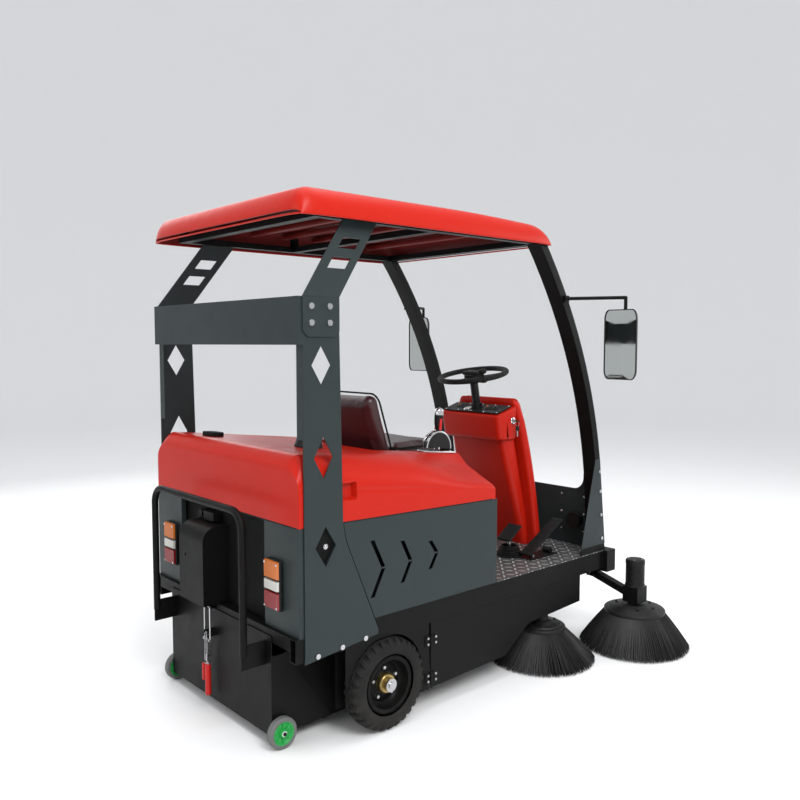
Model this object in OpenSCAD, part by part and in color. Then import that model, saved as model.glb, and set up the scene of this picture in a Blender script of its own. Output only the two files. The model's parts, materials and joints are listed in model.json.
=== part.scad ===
// Ride-on sweeper with a roof: three-wheeled chassis, roller brush, four side brushes,
// a roll-out dust hopper at the rear, a tilting rear cover that carries the seat.
// Millimetres. +Z up, the floor is z = 0, the front faces -Y, the driver's right is -X.
// Lengths along the machine are counted from the rear axle; frame_y then moves the whole
// machine so that the origin lies at the middle of its length.

/* [Body] */
// Width over the side panels
body_w = 1114; // [1000:2:1240]
// From the rear axle to the rear end of the rails
rear_end = 420; // [400:1:470]
// From the rear axle to the front end of the rails
front_end = 1444; // [1420:1:1560]
// Height of the top of the rails above the floor
rail_top = 452; // [445:1:500]
// Height of a rail
rail_h = 88; // [70:1:95]
// Width of a rail
rail_w = 40; // [30:1:50]
// Thickness of the sheet metal
sheet_t = 4; // [3:0.5:6]
// Height of the side panels at the rear end
panel_top = 848; // [800:1:900]
// Fall of the panel tops from rear to front
panel_fall = 25; // [0:1:40]
// From the rear axle to the front face of the seat body
body_front = 636; // [610:1:660]

/* [Rear cover and seat] */
// Height of the rear cover's top
cover_top = 1104; // [1080:1:1150]
// Thickness of the moulded plastic
shell_t = 5; // [3:0.5:8]
// Gap between the rear cover and the panels under it
cover_gap = 0.3; // [0.3:0.1:2]
// Width of the seat
seat_w = 460; // [380:5:500]
// Thickness of the seat cushion
cushion_t = 105; // [70:5:120]
// Height of the backrest
back_h = 255; // [200:5:300]

/* [Roof] */
// Height of the roof's lower edge
roof_z = 1940; // [1900:5:2100]
// Depth of the roof shell
roof_h = 105; // [80:1:130]
// Half width of the roof
roof_half = 585; // [570:1:620]
// From the rear axle to the roof's rear edge
roof_rear = 410; // [400:1:440]
// From the rear axle to the roof's front edge
roof_front = 1000; // [990:1:1060]
// Width of a front pillar tube
pillar_w = 75; // [50:1:80]
// Depth of a front pillar tube
pillar_d = 40; // [30:1:50]

/* [Wheels and brushes] */
// Diameter of a rear tyre
tyre_d = 360; // [320:2:364]
// Width of a rear tyre
tyre_w = 90; // [70:2:100]
// Diameter of the front wheel
front_wheel_d = 320; // [280:2:330]
// From the rear axle to the front wheel's axle
wheelbase = 1130; // [1100:1:1160]
// Diameter of the roller brush
roller_d = 326; // [280:2:326]
// Length of the roller brush
roller_l = 830; // [700:5:850]
// Diameter of a front side brush at the floor
front_brush_d = 528; // [440:2:528]
// Diameter of a middle side brush at the floor
mid_brush_d = 504; // [440:2:504]
// Diameter of a castor
castor_d = 120; // [100:1:130]
// Radial running clearance of a shaft in its hole
run_gap = 0.05; // [0.02:0.01:0.1]

/* [Hopper] */
// Half width of the hopper
hopper_half = 395; // [340:1:400]
// Length of the hopper
hopper_l = 540; // [400:5:560]
// Height of the hopper's floor
hopper_z = 45; // [30:1:60]
// Top of the hopper's bin
hopper_top = 350; // [300:1:356]
// Half width of the push handle
handle_half = 357; // [320:1:360]
// Top of the push handle
handle_top = 905; // [800:1:940]
// Diameter of the push handle's tube
handle_d = 28; // [20:1:34]

/* [Driving controls] */
// Diameter of the steering wheel
steer_d = 372; // [320:2:420]
// Height of the steering wheel's centre
steer_z = 1334; // [1300:1:1380]
// Height of the dash at its rear edge
dash_z = 1143; // [1120:1:1180]

/* [Hidden] */

$fn = 48;

// finishes
slate = [0.22, 0.27, 0.27];
red = [0.75, 0.12, 0.08];
black = [0.06, 0.06, 0.065];
rubber_black = [0.03, 0.03, 0.03];
bristle_black = [0.05, 0.05, 0.055];
zinc = [0.75, 0.75, 0.76];
checker = [0.62, 0.63, 0.65];
vinyl = [0.10, 0.03, 0.04];

seat_gap = 0.3;            // between pieces that only rest on each other
half_w = body_w / 2;
rail_bottom = rail_top - rail_h;
rail_inner = half_w - rail_w;
wheel_r = tyre_d / 2;
deck_t = 3;
deck_z = rail_top + deck_t;

// side brushes
brush_low = 3;
front_brush_x = 706;
front_brush_y = -1500;
mid_brush_x = 505;
mid_brush_y = -1020;
front_disc_r = 147;
front_disc_z = 185;
mid_disc_r = 112;
mid_disc_z = 162;
disc_t = 14;

// push handle
handle_y = rear_end + 93.5;
handle_rear = handle_y + handle_d / 2;
frame_y = -(handle_rear + front_brush_y - front_brush_d / 2) / 2;

// bumper
bumper_half = 580;
bumper_d = 71;
bumper_z0 = 347;
bumper_z1 = deck_z;
bumper_front = front_end + bumper_d;

module placed() translate([0, frame_y, 0]) children();

module slab(x0, x1, y0, y1, z0, z1)
  translate([x0, y0, z0]) cube([x1 - x0, y1 - y0, z1 - z0]);

// copies the left-hand (+X) shape to both sides
module both_sides() for (flip = [0, 1]) mirror([flip, 0, 0]) children();

// the left-hand shape on one side: "left" or "right"
module on_side(side) mirror([side == "right" ? 1 : 0, 0, 0]) children();

// a plate from an outline in (y, z), standing on the plane x = x0 and t thick along +X
module side_plate(outline, x0, t)
  translate([x0, 0, 0]) rotate([90, 0, 90]) linear_extrude(t) polygon(outline);

// a plate from an outline in (x, z), from y = y0 to y0 + t
module cross_plate(outline, y0, t)
  translate([0, y0 + t, 0]) rotate([90, 0, 0]) linear_extrude(t) polygon(outline);

module rod_x(r, x0, x1, y, z)
  translate([x0, y, z]) rotate([0, 90, 0]) cylinder(r = r, h = x1 - x0);

module rod_y(r, y0, y1, x, z)
  translate([x, y1, z]) rotate([90, 0, 0]) cylinder(r = r, h = y1 - y0);

module rod_z(r, z0, z1, x, y)
  translate([x, y, z0]) cylinder(r = r, h = z1 - z0);

function arc_points(cy, cz, r, a0, a1, n) =
  [for (i = [0 : n]) let (a = a0 + (a1 - a0) * i / n) [cy + r * cos(a), cz + r * sin(a)]];

// height of the side panels' top edge at a place along the machine
function panel_z(y) = panel_top - panel_fall * (rear_end - y) / (rear_end + body_front);

// ---------------------------------------------------------------- chassis

hub_plate_in = 478;
hub_plate_out = hub_plate_in + 8;
stub_r = 20;
wheel_in = half_w + 33 - tyre_w;
stub_end = half_w + 27;
fork_stem_r = 22;
fork_y = -wheelbase;
roller_y = -330;
roller_z = roller_d / 2 + 2;
roller_shaft_r = 14;
roller_plate_in = 426;
arm_pivot_x = 470;
arm_pivot_y = -1480;
arm_pivot_z = 322;
arm_pin_r = 8;
ear_t = 6;
arm_tube_w = 40;
catch_x = 25;
catch_z = 439;

module hollow_rail(y0, y1)
  difference() {
    slab(rail_inner, half_w, y0, y1, rail_bottom, rail_top);
    slab(rail_inner + sheet_t, half_w - sheet_t, y0 - 1, y1 + 1,
         rail_bottom + sheet_t, rail_top - sheet_t);
  }

cross_h = 50;
cross_d = 40;
cross_y = [rear_end - cross_d, -190, -640, -1080 - cross_d, -front_end];

module cross_member(y)
  slab(-rail_inner, rail_inner, y, y + cross_d, rail_top - cross_h, rail_top);

module chassis_frame() color(black) placed() {
  difference() {
    union() {
      both_sides() hollow_rail(-front_end, rear_end);
      for (y = cross_y) cross_member(y);
      // steering head under the floor
      rod_z(46, rail_top - cross_h - 6, rail_top, 0, fork_y);
      slab(-46, 46, fork_y, cross_y[3] + 1, rail_top - cross_h, rail_top);
      // plates that carry the rear wheels' stub axles
      both_sides() {
        slab(hub_plate_in, hub_plate_out, -150, 190, wheel_r - 70, rail_bottom);
        slab(hub_plate_in, rail_inner, -150, 190, rail_bottom, rail_bottom + 8);
        slab(hub_plate_in, hub_plate_out, -150, 190, rail_bottom, rail_bottom + 8);
        slab(rail_inner - 1, rail_inner + 1, -150, 190, rail_bottom, rail_bottom + 8);
        rod_x(stub_r, hub_plate_out - 1, stub_end, 0, wheel_r);
        rod_x(34, hub_plate_out - 1, wheel_in - seat_gap, 0, wheel_r);
      }
      // plates that carry the roller brush
      both_sides() {
        slab(roller_plate_in, roller_plate_in + 8, roller_y - 45, roller_y + 45,
             roller_z - 45, rail_bottom + 12);
        slab(roller_plate_in, rail_inner + 1, roller_y - 45, roller_y + 45,
             rail_bottom, rail_bottom + 12);
      }
      // bumper
      slab(-bumper_half, bumper_half, -bumper_front, -front_end, bumper_z0, bumper_z1);
      // ears for the front brush arms
      both_sides() for (y = [arm_pivot_y - arm_tube_w / 2 - ear_t - seat_gap,
                             arm_pivot_y + arm_tube_w / 2 + seat_gap])
        slab(arm_pivot_x - 20, arm_pivot_x + 20, y, y + ear_t, arm_pivot_z - 18, bumper_z0 + 1);
      // ledge that the hopper latch hooks over
      slab(catch_x - 14, catch_x + 14, rear_end - 1, rear_end + 38, catch_z - 9, catch_z);
    }
    // hollow bumper, open at the bottom
    slab(-bumper_half + sheet_t, bumper_half - sheet_t, -bumper_front + sheet_t,
         -front_end - sheet_t, bumper_z0 + sheet_t, bumper_z1 - sheet_t);
    rod_z(fork_stem_r + run_gap, rail_top - cross_h - 10, rail_top + 1, 0, fork_y);
    both_sides() {
      rod_x(roller_shaft_r + run_gap, roller_plate_in - 1, roller_plate_in + 9,
            roller_y, roller_z);
      rod_y(arm_pin_r + run_gap, arm_pivot_y - 40, arm_pivot_y + 40,
            arm_pivot_x, arm_pivot_z);
    }
  }
}

module floor_plate() color(checker) placed() difference() {
  slab(-half_w, half_w, -front_end, -body_front, rail_top, deck_z);
  rod_z(fork_stem_r + 6, rail_top - 1, deck_z + 1, 0, fork_y);
}

// ---------------------------------------------------------------- body panels

panel_y1 = 384;
corner_y = 405;
corner_in = 333;
slot_w = 20;

// a chevron of two slots: the tip points forward, a small bridge is left at the tip
module chevron(y, tip, z_top, z_tip, z_low) {
  for (leg = [[y, z_top, z_tip + 3, 1], [y, z_low, z_tip - 3, -1]])
    side_plate([[leg[0], leg[1]], [leg[0] - slot_w, leg[1]],
                [tip, leg[2]], [tip + slot_w, leg[2]]],
               half_w - sheet_t - 1, sheet_t + 2);
}

module body_panels() color(slate) placed() {
  both_sides() {
    // side panel with a turned-in front edge
    difference() {
      union() {
        side_plate([[-body_front, rail_top], [panel_y1, rail_top],
                    [panel_y1, panel_z(panel_y1)], [-body_front, panel_z(-body_front)]],
                   half_w - sheet_t, sheet_t);
        slab(half_w - 30, half_w, -body_front, -body_front + sheet_t,
             deck_z, panel_z(-body_front));
      }
      slab(half_w - 40, half_w + 1, -body_front - 1, -body_front + sheet_t + 1,
           rail_top - 1, deck_z);
      chevron(79, 5, 753, 640, 533);
      chevron(-73, -135, 728, 642, 561);
      chevron(-224, -279, 703, 649, 587);
      // the lowest diamond of the leg goes on through the panel
      side_plate(diamond(leg_hole_y, leg_hole_z, leg_hole_dy, leg_hole_dz),
                 half_w - sheet_t - 1, sheet_t + 2);
    }
    // rear corner panel that wraps round the corner
    cross_plate([[corner_in, rail_top], [half_w - sheet_t, rail_top],
                 [half_w - sheet_t, panel_z(corner_y - sheet_t)],
                 [corner_in, panel_z(corner_y - sheet_t)]],
                corner_y - sheet_t, sheet_t);
    side_plate([[panel_y1 + 0.5, rail_top], [corner_y, rail_top], [corner_y, panel_z(corner_y)],
                [panel_y1 + 0.5, panel_z(panel_y1 + 0.5)]], half_w - sheet_t, sheet_t);
    slab(corner_in, corner_in + sheet_t, corner_y - 22, corner_y - sheet_t,
         rail_top, panel_z(corner_y) - 12);
  }
}

bulk_y = 372;

module bulkheads() color(black) placed() {
  // rear wall behind the fan box
  slab(-half_w + sheet_t, half_w - sheet_t, bulk_y, bulk_y + sheet_t,
       rail_top, panel_z(bulk_y) - 8);
  // front wall under the seat, with the fixed halves of two cover hinges
  slab(-half_w + 30, half_w - 30, -body_front, -body_front + sheet_t,
       deck_z, panel_z(-body_front) - 6);
  both_sides() for (x = [440, 480]) {
    slab(x - 10, x + 10, -body_front - 3, -body_front, hinge_z - 34, hinge_z);
    rod_x(hinge_r, x - 10, x + 10, hinge_y, hinge_z);
  }
  both_sides() rod_x(hinge_pin_r, 445, 475, hinge_y, hinge_z);
}

hinge_r = 7;
hinge_pin_r = 3;
hinge_y = -body_front - 8;
hinge_z = panel_z(-body_front);

// ---------------------------------------------------------------- fan box

fan_x0 = -18;
fan_x1 = 182;
fan_rear = 492;
fan_z0 = 455;
fan_z1 = 770;
fan_r = 60;

module fan_box() color(black) placed() {
  difference() {
    side_plate(concat([[bulk_y + sheet_t, fan_z0], [fan_rear, fan_z0]],
                      arc_points(fan_rear - fan_r, fan_z1 - fan_r, fan_r, 0, 90, 10),
                      [[bulk_y + sheet_t, fan_z1]]), fan_x0, fan_x1 - fan_x0);
    side_plate(concat([[bulk_y, fan_z0 + sheet_t], [fan_rear - sheet_t, fan_z0 + sheet_t]],
                      arc_points(fan_rear - fan_r, fan_z1 - fan_r, fan_r - sheet_t, 0, 90, 10),
                      [[bulk_y, fan_z1 - sheet_t]]),
               fan_x0 + sheet_t, fan_x1 - fan_x0 - 2 * sheet_t);
    rod_y(6, fan_rear - 20, fan_rear + 1, 130, 640);
  }
  // fan motor inside
  rod_y(52, bulk_y + sheet_t, fan_rear - 25, (fan_x0 + fan_x1) / 2, 620);
  // clamp block and knob above the box
  slab(30, 110, bulk_y + sheet_t, bulk_y + 46, fan_z1 + 8, fan_z1 + 44);
  rod_y(14, bulk_y + sheet_t, bulk_y + 40, 150, fan_z1 + 28);
}

// ---------------------------------------------------------------- rear legs and roof

leg_x = half_w + seat_gap;
leg_t = 5;
leg_y0 = 228;
leg_y1 = 384;
leg_top = 1661;
splice_z = 1520;
flange_w = 36;
// middle and half diagonals of the lowest diamond in a leg
leg_hole_y = 291;
leg_hole_z = 768;
leg_hole_dy = 46;
leg_hole_dz = 74;

function diamond(y, z, dy, dz) = [[y, z + dz], [y - dy, z], [y, z - dz], [y + dy, z]];

module rear_legs() color(slate) placed() both_sides() {
  difference() {
    side_plate([[leg_y0, leg_top], [leg_y1, leg_top], [leg_y1, 356], [46, 390],
                [46, 410], [199, 773], [212, 842]], leg_x, leg_t);
    for (d = [[306, 1421, 42, 70], [298, 1092, 42, 76],
              [leg_hole_y, leg_hole_z, leg_hole_dy, leg_hole_dz]])
      side_plate(diamond(d[0], d[1], d[2], d[3]), leg_x - 1, leg_t + 2);
    for (y = [110, 220, 330]) rod_x(6, leg_x - 1, leg_x + leg_t + 1, y, 392 - 0.06 * (y - 46));
  }
  // turned-in rear edge above the cover
  slab(leg_x - flange_w, leg_x, leg_y1 - leg_t, leg_y1, cover_top + 56, leg_top);
}

strut_lean = 8;
strut_x = leg_x + leg_t;
strut_bottom_y = 388;
strut_top_y = 178;
strut_w = 159;
strut_h = (roof_z + 8 - leg_top) / cos(strut_lean);

module roof_struts() color(slate) placed() both_sides() {
  difference() {
    // lap plate over the leg, with cut lower corners
    side_plate([[leg_y0, leg_top], [leg_y0 + strut_w, leg_top],
                [leg_y0 + strut_w, splice_z + 22], [leg_y0 + strut_w - 22, splice_z],
                [leg_y0 + 22, splice_z], [leg_y0, splice_z + 22]], strut_x, leg_t);
    for (y = [272, 351], z = [1570, 1628])
      rod_x(6, strut_x - 1, strut_x + leg_t + 1, y, z);
  }
  // sloping plate, leaning inwards, with two windows
  translate([strut_x, 0, leg_top]) rotate([0, -strut_lean, 0]) difference() {
    side_plate([[leg_y0, 0], [leg_y0 + strut_w, 0],
                [strut_top_y, strut_h], [strut_top_y - strut_w, strut_h]], 0, leg_t);
    for (part = [[0.36, 0.50], [0.62, 0.76]])
      side_plate([for (k = [[part[0], 36], [part[0], strut_w - 42],
                            [part[1], strut_w - 42], [part[1], 36]])
                  [leg_y0 - (leg_y0 - strut_top_y + strut_w) * k[0] + k[1], strut_h * k[0]]],
                 -1, leg_t + 2);
  }
}

module crossbeam() color(slate) placed() difference() {
  slab(-leg_x - leg_t, leg_x + leg_t, leg_y1, leg_y1 + 20, 1493, leg_top);
  slab(-leg_x, leg_x, leg_y1 - 1, leg_y1 + 20 - sheet_t, 1493 + sheet_t, leg_top - sheet_t);
}

frame_rail_out = strut_x - (roof_z + 3 - leg_top) * tan(strut_lean) - 1;
frame_rail_w = 34;
frame_z = 6;
frame_h = 26;
pillar_out = half_w - 7;

module roof_frame() color(black) placed() {
  both_sides() slab(frame_rail_out - frame_rail_w, frame_rail_out, -962, 300,
                    roof_z + frame_z, roof_z + frame_z + frame_h);
  for (y = [-962, -330, 260])
    slab(-frame_rail_out, frame_rail_out, y, y + 40, roof_z + frame_z, roof_z + frame_z + frame_h);
  // posts up to the inside of the roof shell
  both_sides() for (y = [-325, 265])
    slab(frame_rail_out - 32, frame_rail_out - 2, y, y + 30,
         roof_z + frame_z + frame_h - 1, roof_z + roof_h - shell_t);
}

nose_l = 115;
nose_fall = 22;

// side outline of the roof from rear to front, with the wall moved in by inset
function roof_side(inset) = let (r = 70, n = 10, top = roof_z + roof_h - inset)
  concat([[roof_rear - inset, roof_z - 1], [roof_rear - inset, roof_z]],
         [for (i = [0 : n]) let (a = 90 * i / n)
           [roof_rear - inset - r + r * cos(a), top - r + r * sin(a)]],
         [[-400, top], [-650, top - nose_fall / 3]],
         [for (i = [0 : n]) let (a = 90 * i / n)
           [-roof_front + nose_l - (nose_l - inset) * sin(a),
            roof_z + (top - roof_z - nose_fall) * cos(a)]],
         [[-roof_front + inset, roof_z - 1]]);

// front outline of the roof shell
function roof_cross(inset) = let (r = 60, n = 8, w = roof_half - inset,
                                  top = roof_z + roof_h - inset)
  concat([[w, roof_z - 1]],
         [for (i = [0 : n]) let (a = 90 * i / n) [w - r + r * cos(a), top - r + r * sin(a)]],
         [for (i = [n : -1 : 0]) let (a = 90 * i / n)
           [-w + r - r * cos(a), top - r + r * sin(a)]],
         [[-w, roof_z - 1]]);

module roof_solid(inset) intersection() {
  side_plate(roof_side(inset), -roof_half, 2 * roof_half);
  cross_plate(roof_cross(inset), -roof_front, roof_front + roof_rear);
}

module roof_canopy() color(red) placed() difference() {
  roof_solid(0);
  roof_solid(shell_t);
  slab(-700, 700, -1300, 700, roof_z - 10, roof_z);
}

// ---------------------------------------------------------------- front pillars

// the pillar's front edge: a cubic curve from the floor up into the roof frame
pillar_foot = [-front_end + 4, bumper_z1];
pillar_pull_1 = [-front_end - 11, 1000];
pillar_pull_2 = [-1310, 1500];
pillar_head = [-944, roof_z + frame_z + 32];
pillar_steps = 20;

function pillar_at(t) = pow(1 - t, 3) * pillar_foot + 3 * pow(1 - t, 2) * t * pillar_pull_1
  + 3 * (1 - t) * t * t * pillar_pull_2 + pow(t, 3) * pillar_head;
function pillar_dir(t) = 3 * pow(1 - t, 2) * (pillar_pull_1 - pillar_foot)
  + 6 * (1 - t) * t * (pillar_pull_2 - pillar_pull_1) + 3 * t * t * (pillar_head - pillar_pull_2);
// a curve that runs d behind the front edge
function pillar_line(d) = [for (i = [0 : pillar_steps]) let (t = i / pillar_steps,
  v = pillar_dir(t) / norm(pillar_dir(t))) pillar_at(t) + d * [v[1], -v[0]]];
function reversed(list) = [for (i = [len(list) - 1 : -1 : 0]) list[i]];
function pillar_outline(d0, d1) = concat(pillar_line(d0), reversed(pillar_line(d1)));

gusset_bolts = [520, 640, 760, 860];
gusset_top = 925;
gusset_head_y = -1406;
// the bolts follow the gusset's front edge
function gusset_bolt_y(z) = -front_end + 8
  + (z - bumper_z1) * (gusset_head_y + front_end + 2) / (gusset_top - bumper_z1);

module front_pillars() color(black) placed() both_sides() intersection() {
  slab(0, 600, -1600, -500, bumper_z1, roof_z + frame_z);
  union() {
    difference() {
      side_plate(pillar_outline(-0.01, pillar_d), pillar_out - pillar_w, pillar_w);
      side_plate(pillar_outline(3, pillar_d - 3), pillar_out - pillar_w + 3, pillar_w - 6);
    }
    // gusset on the outside of the foot
    difference() {
      side_plate([[-front_end - 16, bumper_z1], [-1257, bumper_z1],
                  [gusset_head_y + 40, gusset_top], [gusset_head_y, gusset_top]],
                 pillar_out, sheet_t);
      for (z = gusset_bolts)
        rod_x(5, pillar_out - 1, pillar_out + sheet_t + 1, gusset_bolt_y(z), z);
    }
  }
}

panel_front_y = -front_end + 4;
panel_front_z = 749;
panel_half = pillar_out - pillar_w;
panel_corner = 60;

// sheet between the pillars, its top edge rising in a round corner beside each pillar
module front_panel() color(black) placed()
  cross_plate(concat(
      [[-panel_half, bumper_z1], [panel_half, bumper_z1], [panel_half, panel_front_z + 80],
       [panel_half - 40, panel_front_z + 80]],
      arc_points(panel_half - 100, panel_front_z + panel_corner, panel_corner, 0, -90, 8),
      arc_points(-panel_half + 100, panel_front_z + panel_corner, panel_corner, -90, -180, 8),
      [[-panel_half + 40, panel_front_z + 80], [-panel_half, panel_front_z + 80]]),
    panel_front_y, sheet_t);

// ---------------------------------------------------------------- console and steering

steer_y = -1071;
steer_lean = 10.2;
column_r = 21;
collar_down = 177;
dash_front_y = -1160;
dash_rear_y = -1044;
dash_rise = 35;
dash_half = 190;
dash_t = 4;
dash_slope = atan(dash_rise / (dash_rear_y - dash_front_y));

// a block whose lower and upper faces differ: each row is [half width, y0, y1, z]
module taper(low, high) hull() for (row = [low, high])
  slab(-row[0], row[0], row[1], row[2], row[3], row[3] + 0.5);

module console_head(inset)
  side_plate([[-1188, 1000], [-1062 - inset, 1000 + inset], [dash_rear_y + 8 - inset, 1030],
              [dash_rear_y + 8 - inset, dash_z - (8 - inset) * tan(dash_slope)],
              [dash_front_y, dash_z + dash_rise], [-1188, dash_z + dash_rise]],
             -207 + inset, 2 * (207 - inset));

module console() color(red) placed() difference() {
  union() {
    taper([285, -1330, -1280, deck_z], [205, -1215, -1165, 1215]);
    taper([220, -1300, -1234, deck_z], [186, -1200, -1090, 1010]);
    console_head(0);
  }
  taper([280, -1325, -1285, deck_z - 1], [200, -1210, -1170, 1208]);
  taper([215, -1304, -1239, deck_z - 1], [181, -1204, -1095, 1003]);
  console_head(shell_t);
  // opening under the dash plate
  dash_place() slab(-dash_half + 12, dash_half - 12, 10, dash_len - 10, -30, 3);
  key_place() cylinder(r = key_r + run_gap, h = 60, center = true);
}

dash_len = norm([dash_rear_y - dash_front_y, dash_rise]);

// puts a flat drawing on the dash: x across, y from its rear edge forward, z off its face
module dash_place() translate([0, dash_rear_y, dash_z]) rotate([-dash_slope, 0, 0])
  mirror([0, 1, 0]) children();

rocker_w = 20;
rocker_l = 34;
rocker_gap = 0.5;
rocker_pin_r = 2;
rocker_x = [-136, -108, -80, 92, 120];
rocker_y = 62;

module dash_plate() color(black) placed() difference() {
  union() {
    dash_place() difference() {
      union() {
        slab(-dash_half, dash_half, 3, dash_len - 3, 0.2, dash_t);
        // round gauge
        rod_z(20, dash_t - 1, dash_t + 5, 36, 30);
      }
      for (x = rocker_x) slab(x - rocker_w / 2 - rocker_gap, x + rocker_w / 2 + rocker_gap,
                              rocker_y - rocker_l / 2 - rocker_gap,
                              rocker_y + rocker_l / 2 + rocker_gap, -1, dash_t + 1);
    }
    // collar that holds the column
    steer_place() rod_z(column_r + 8, -collar_down, -collar_down + 28, 0, 0);
  }
  steer_place() rod_z(column_r + seat_gap, -collar_down - 20, -100, 0, 0);
}

module steer_place() translate([0, steer_y, steer_z]) rotate([-steer_lean, 0, 0]) children();

column_top = -42;
column_l = 250;

module steering_column() color(black) placed() steer_place() {
  rod_z(column_r, -column_l, column_top, 0, 0);
  rod_z(9, column_top - 1, 4, 0, 0);
}

module steering_wheel() color(rubber_black) placed() steer_place() {
  difference() {
    union() {
      rotate_extrude($fn = 72) translate([steer_d / 2 - 14, 0]) circle(r = 14);
      // hub under the spokes and the pad over them
      translate([0, 0, column_top + seat_gap]) cylinder(r1 = 27, r2 = 46, h = -column_top - 2);
      translate([0, 0, -4]) cylinder(r1 = 52, r2 = 44, h = 20);
      for (a = [90, 210, 330]) rotate(a) slab(20, steer_d / 2 - 16, -17, 17, -8, 0);
      // knob for one-handed steering
      rotate(150) translate([steer_d / 2 - 14, 0, 10]) cylinder(r = 7, h = 20);
      rotate(150) translate([steer_d / 2 - 14, 0, 26]) cylinder(r = 21, h = 26);
    }
    translate([0, 0, column_top - 1]) cylinder(r = 9 + run_gap, h = 4.5 - column_top + 1);
  }
}

key_r = 9;
module key_place() translate([-202, -1146, 1106]) rotate([0, -90, 0]) children();

module ignition_key() color(zinc) placed() key_place() {
  cylinder(r = key_r, h = 14);
  translate([-9, -1.2, 14]) cube([18, 2.4, 26]);
}

module rocker(i) color(rubber_black) placed() dash_place() {
  slab(rocker_x[i] - rocker_w / 2, rocker_x[i] + rocker_w / 2,
       rocker_y - rocker_l / 2, rocker_y + rocker_l / 2, dash_t - 3, dash_t + 4);
  rod_x(rocker_pin_r, rocker_x[i] - rocker_w / 2, rocker_x[i] + rocker_w / 2,
        rocker_y, dash_t - 3);
}

// ---------------------------------------------------------------- lamps and battery

lamp_x = 410;
lamp_half = 48;
lamp_z0 = 530;
lamp_z1 = 715;

module tail_lamps() color("orange") placed() both_sides()
  for (i = [0 : 2]) slab(lamp_x - lamp_half, lamp_x + lamp_half, corner_y, corner_y + 30,
    lamp_z0 + i * (lamp_z1 - lamp_z0) / 3, lamp_z0 + (i + 1) * (lamp_z1 - lamp_z0) / 3 - 1);

tray_half = 370;
tray_top = rail_top + 4;
cell_step = 240;
cell_w = 230;
cell_l = 210;
cell_h = 260;

module battery_pack() color([0.2, 0.2, 0.22]) placed() {
  // tray on the cross members, with nine cells on it
  slab(-tray_half, tray_half, -630, 270, rail_top, tray_top);
  for (x = [-cell_step, 0, cell_step], y = [-510, -270, -30])
    slab(x - cell_w / 2, x + cell_w / 2, y - cell_l / 2, y + cell_l / 2,
         tray_top + seat_gap, tray_top + cell_h);
}

// ---------------------------------------------------------------- fenders and doors

door_hinge_y = -236;
arch_r = wheel_r + 10;
fender_rear = 200;

hinge_heights = [138, 293];
door_pin_x = half_w + 5;
door_pin_y = door_hinge_y + 3;
door_pin_r = 2.5;
door_knuckle_r = 5;

module fender_skirts() color(black) placed() both_sides() {
  difference() {
    side_plate([[door_hinge_y + 8, rail_bottom], [door_hinge_y + 8, 89],
                [-180, 89], [fender_rear, 120], [fender_rear, rail_bottom]],
               half_w - sheet_t, sheet_t);
    rod_x(arch_r, half_w - 20, half_w + 10, 0, wheel_r);
    slab(half_w - 20, half_w + 20, -arch_r + 20, arch_r - 20, 0, wheel_r);
  }
  // fixed hinge leaves with a knuckle above and below the door's, and the pin
  for (z = hinge_heights) {
    slab(half_w, half_w + 3, door_hinge_y + 8, door_hinge_y + 32, z - 22, z + 22);
    for (low = [z - 20, z + 8]) {
      rod_z(door_knuckle_r, low, low + 12, door_pin_x, door_pin_y);
      slab(half_w, half_w + 3, door_pin_y, door_hinge_y + 10, low, low + 12);
    }
    rod_z(door_pin_r, z - 19, z + 19, door_pin_x, door_pin_y);
  }
}

module skirt_door(side) color(black) placed() on_side(side) {
  side_plate([[door_hinge_y - 2, rail_bottom - 0.5], [door_hinge_y - 2, 92], [-700, 106],
              [-860, 216], [-1250, 236], [-1250, rail_bottom - 0.5]],
             half_w - sheet_t, sheet_t);
  for (z = hinge_heights) difference() {
    union() {
      slab(half_w, half_w + 3, door_hinge_y - 26, door_hinge_y - 2, z - 22, z + 22);
      slab(half_w, half_w + 3, door_hinge_y - 4, door_pin_y, z - 7, z + 7);
      rod_z(door_knuckle_r, z - 7, z + 7, door_pin_x, door_pin_y);
    }
    rod_z(door_pin_r + run_gap, z - 30, z + 30, door_pin_x, door_pin_y);
  }
}

// ---------------------------------------------------------------- wheels

rim_w = 70;

module rear_wheel(side) color(rubber_black) placed() on_side(side)
  translate([wheel_in, 0, wheel_r]) rotate([0, 90, 0]) {
    difference() {
      cylinder(r = wheel_r, h = tyre_w, $fn = 96);
      translate([0, 0, -1]) cylinder(r = wheel_r * 0.62, h = tyre_w + 2);
    }
    difference() {
      union() {
        difference() {
          translate([0, 0, 8]) cylinder(r = wheel_r * 0.62, h = tyre_w - 16);
          translate([0, 0, 52]) cylinder(r = wheel_r * 0.62 - 6, h = tyre_w);
        }
        cylinder(r = 32, h = tyre_w - 8);
      }
      translate([0, 0, -1]) cylinder(r = stub_r + run_gap, h = tyre_w + 2);
    }
  }

fork_half = 62;
front_r = front_wheel_d / 2;
fork_axle_r = 12;

module front_fork() color(black) placed() difference() {
  union() {
    rod_z(fork_stem_r, front_r + 190, rail_top + 2, 0, fork_y);
    rod_z(34, front_r + 190, rail_top - cross_h - 6 - seat_gap, 0, fork_y);
    slab(-fork_half - 10, fork_half + 10, fork_y - 35, fork_y + 35,
         front_r + 176, front_r + 192);
    both_sides() slab(fork_half, fork_half + 10, fork_y - 28, fork_y + 28,
                      front_r - 28, front_r + 177);
  }
  rod_x(fork_axle_r + run_gap, -100, 100, fork_y, front_r);
}

module front_wheel() color(rubber_black) placed() {
  difference() {
    rod_x(front_r, -45, 45, fork_y, front_r);
    for (x = [-46, 30]) rod_x(front_r * 0.6, x, x + 16, fork_y, front_r);
  }
  rod_x(fork_axle_r, -fork_half - 16, fork_half + 16, fork_y, front_r);
  rod_x(30, -55, 55, fork_y, front_r);
}

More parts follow.
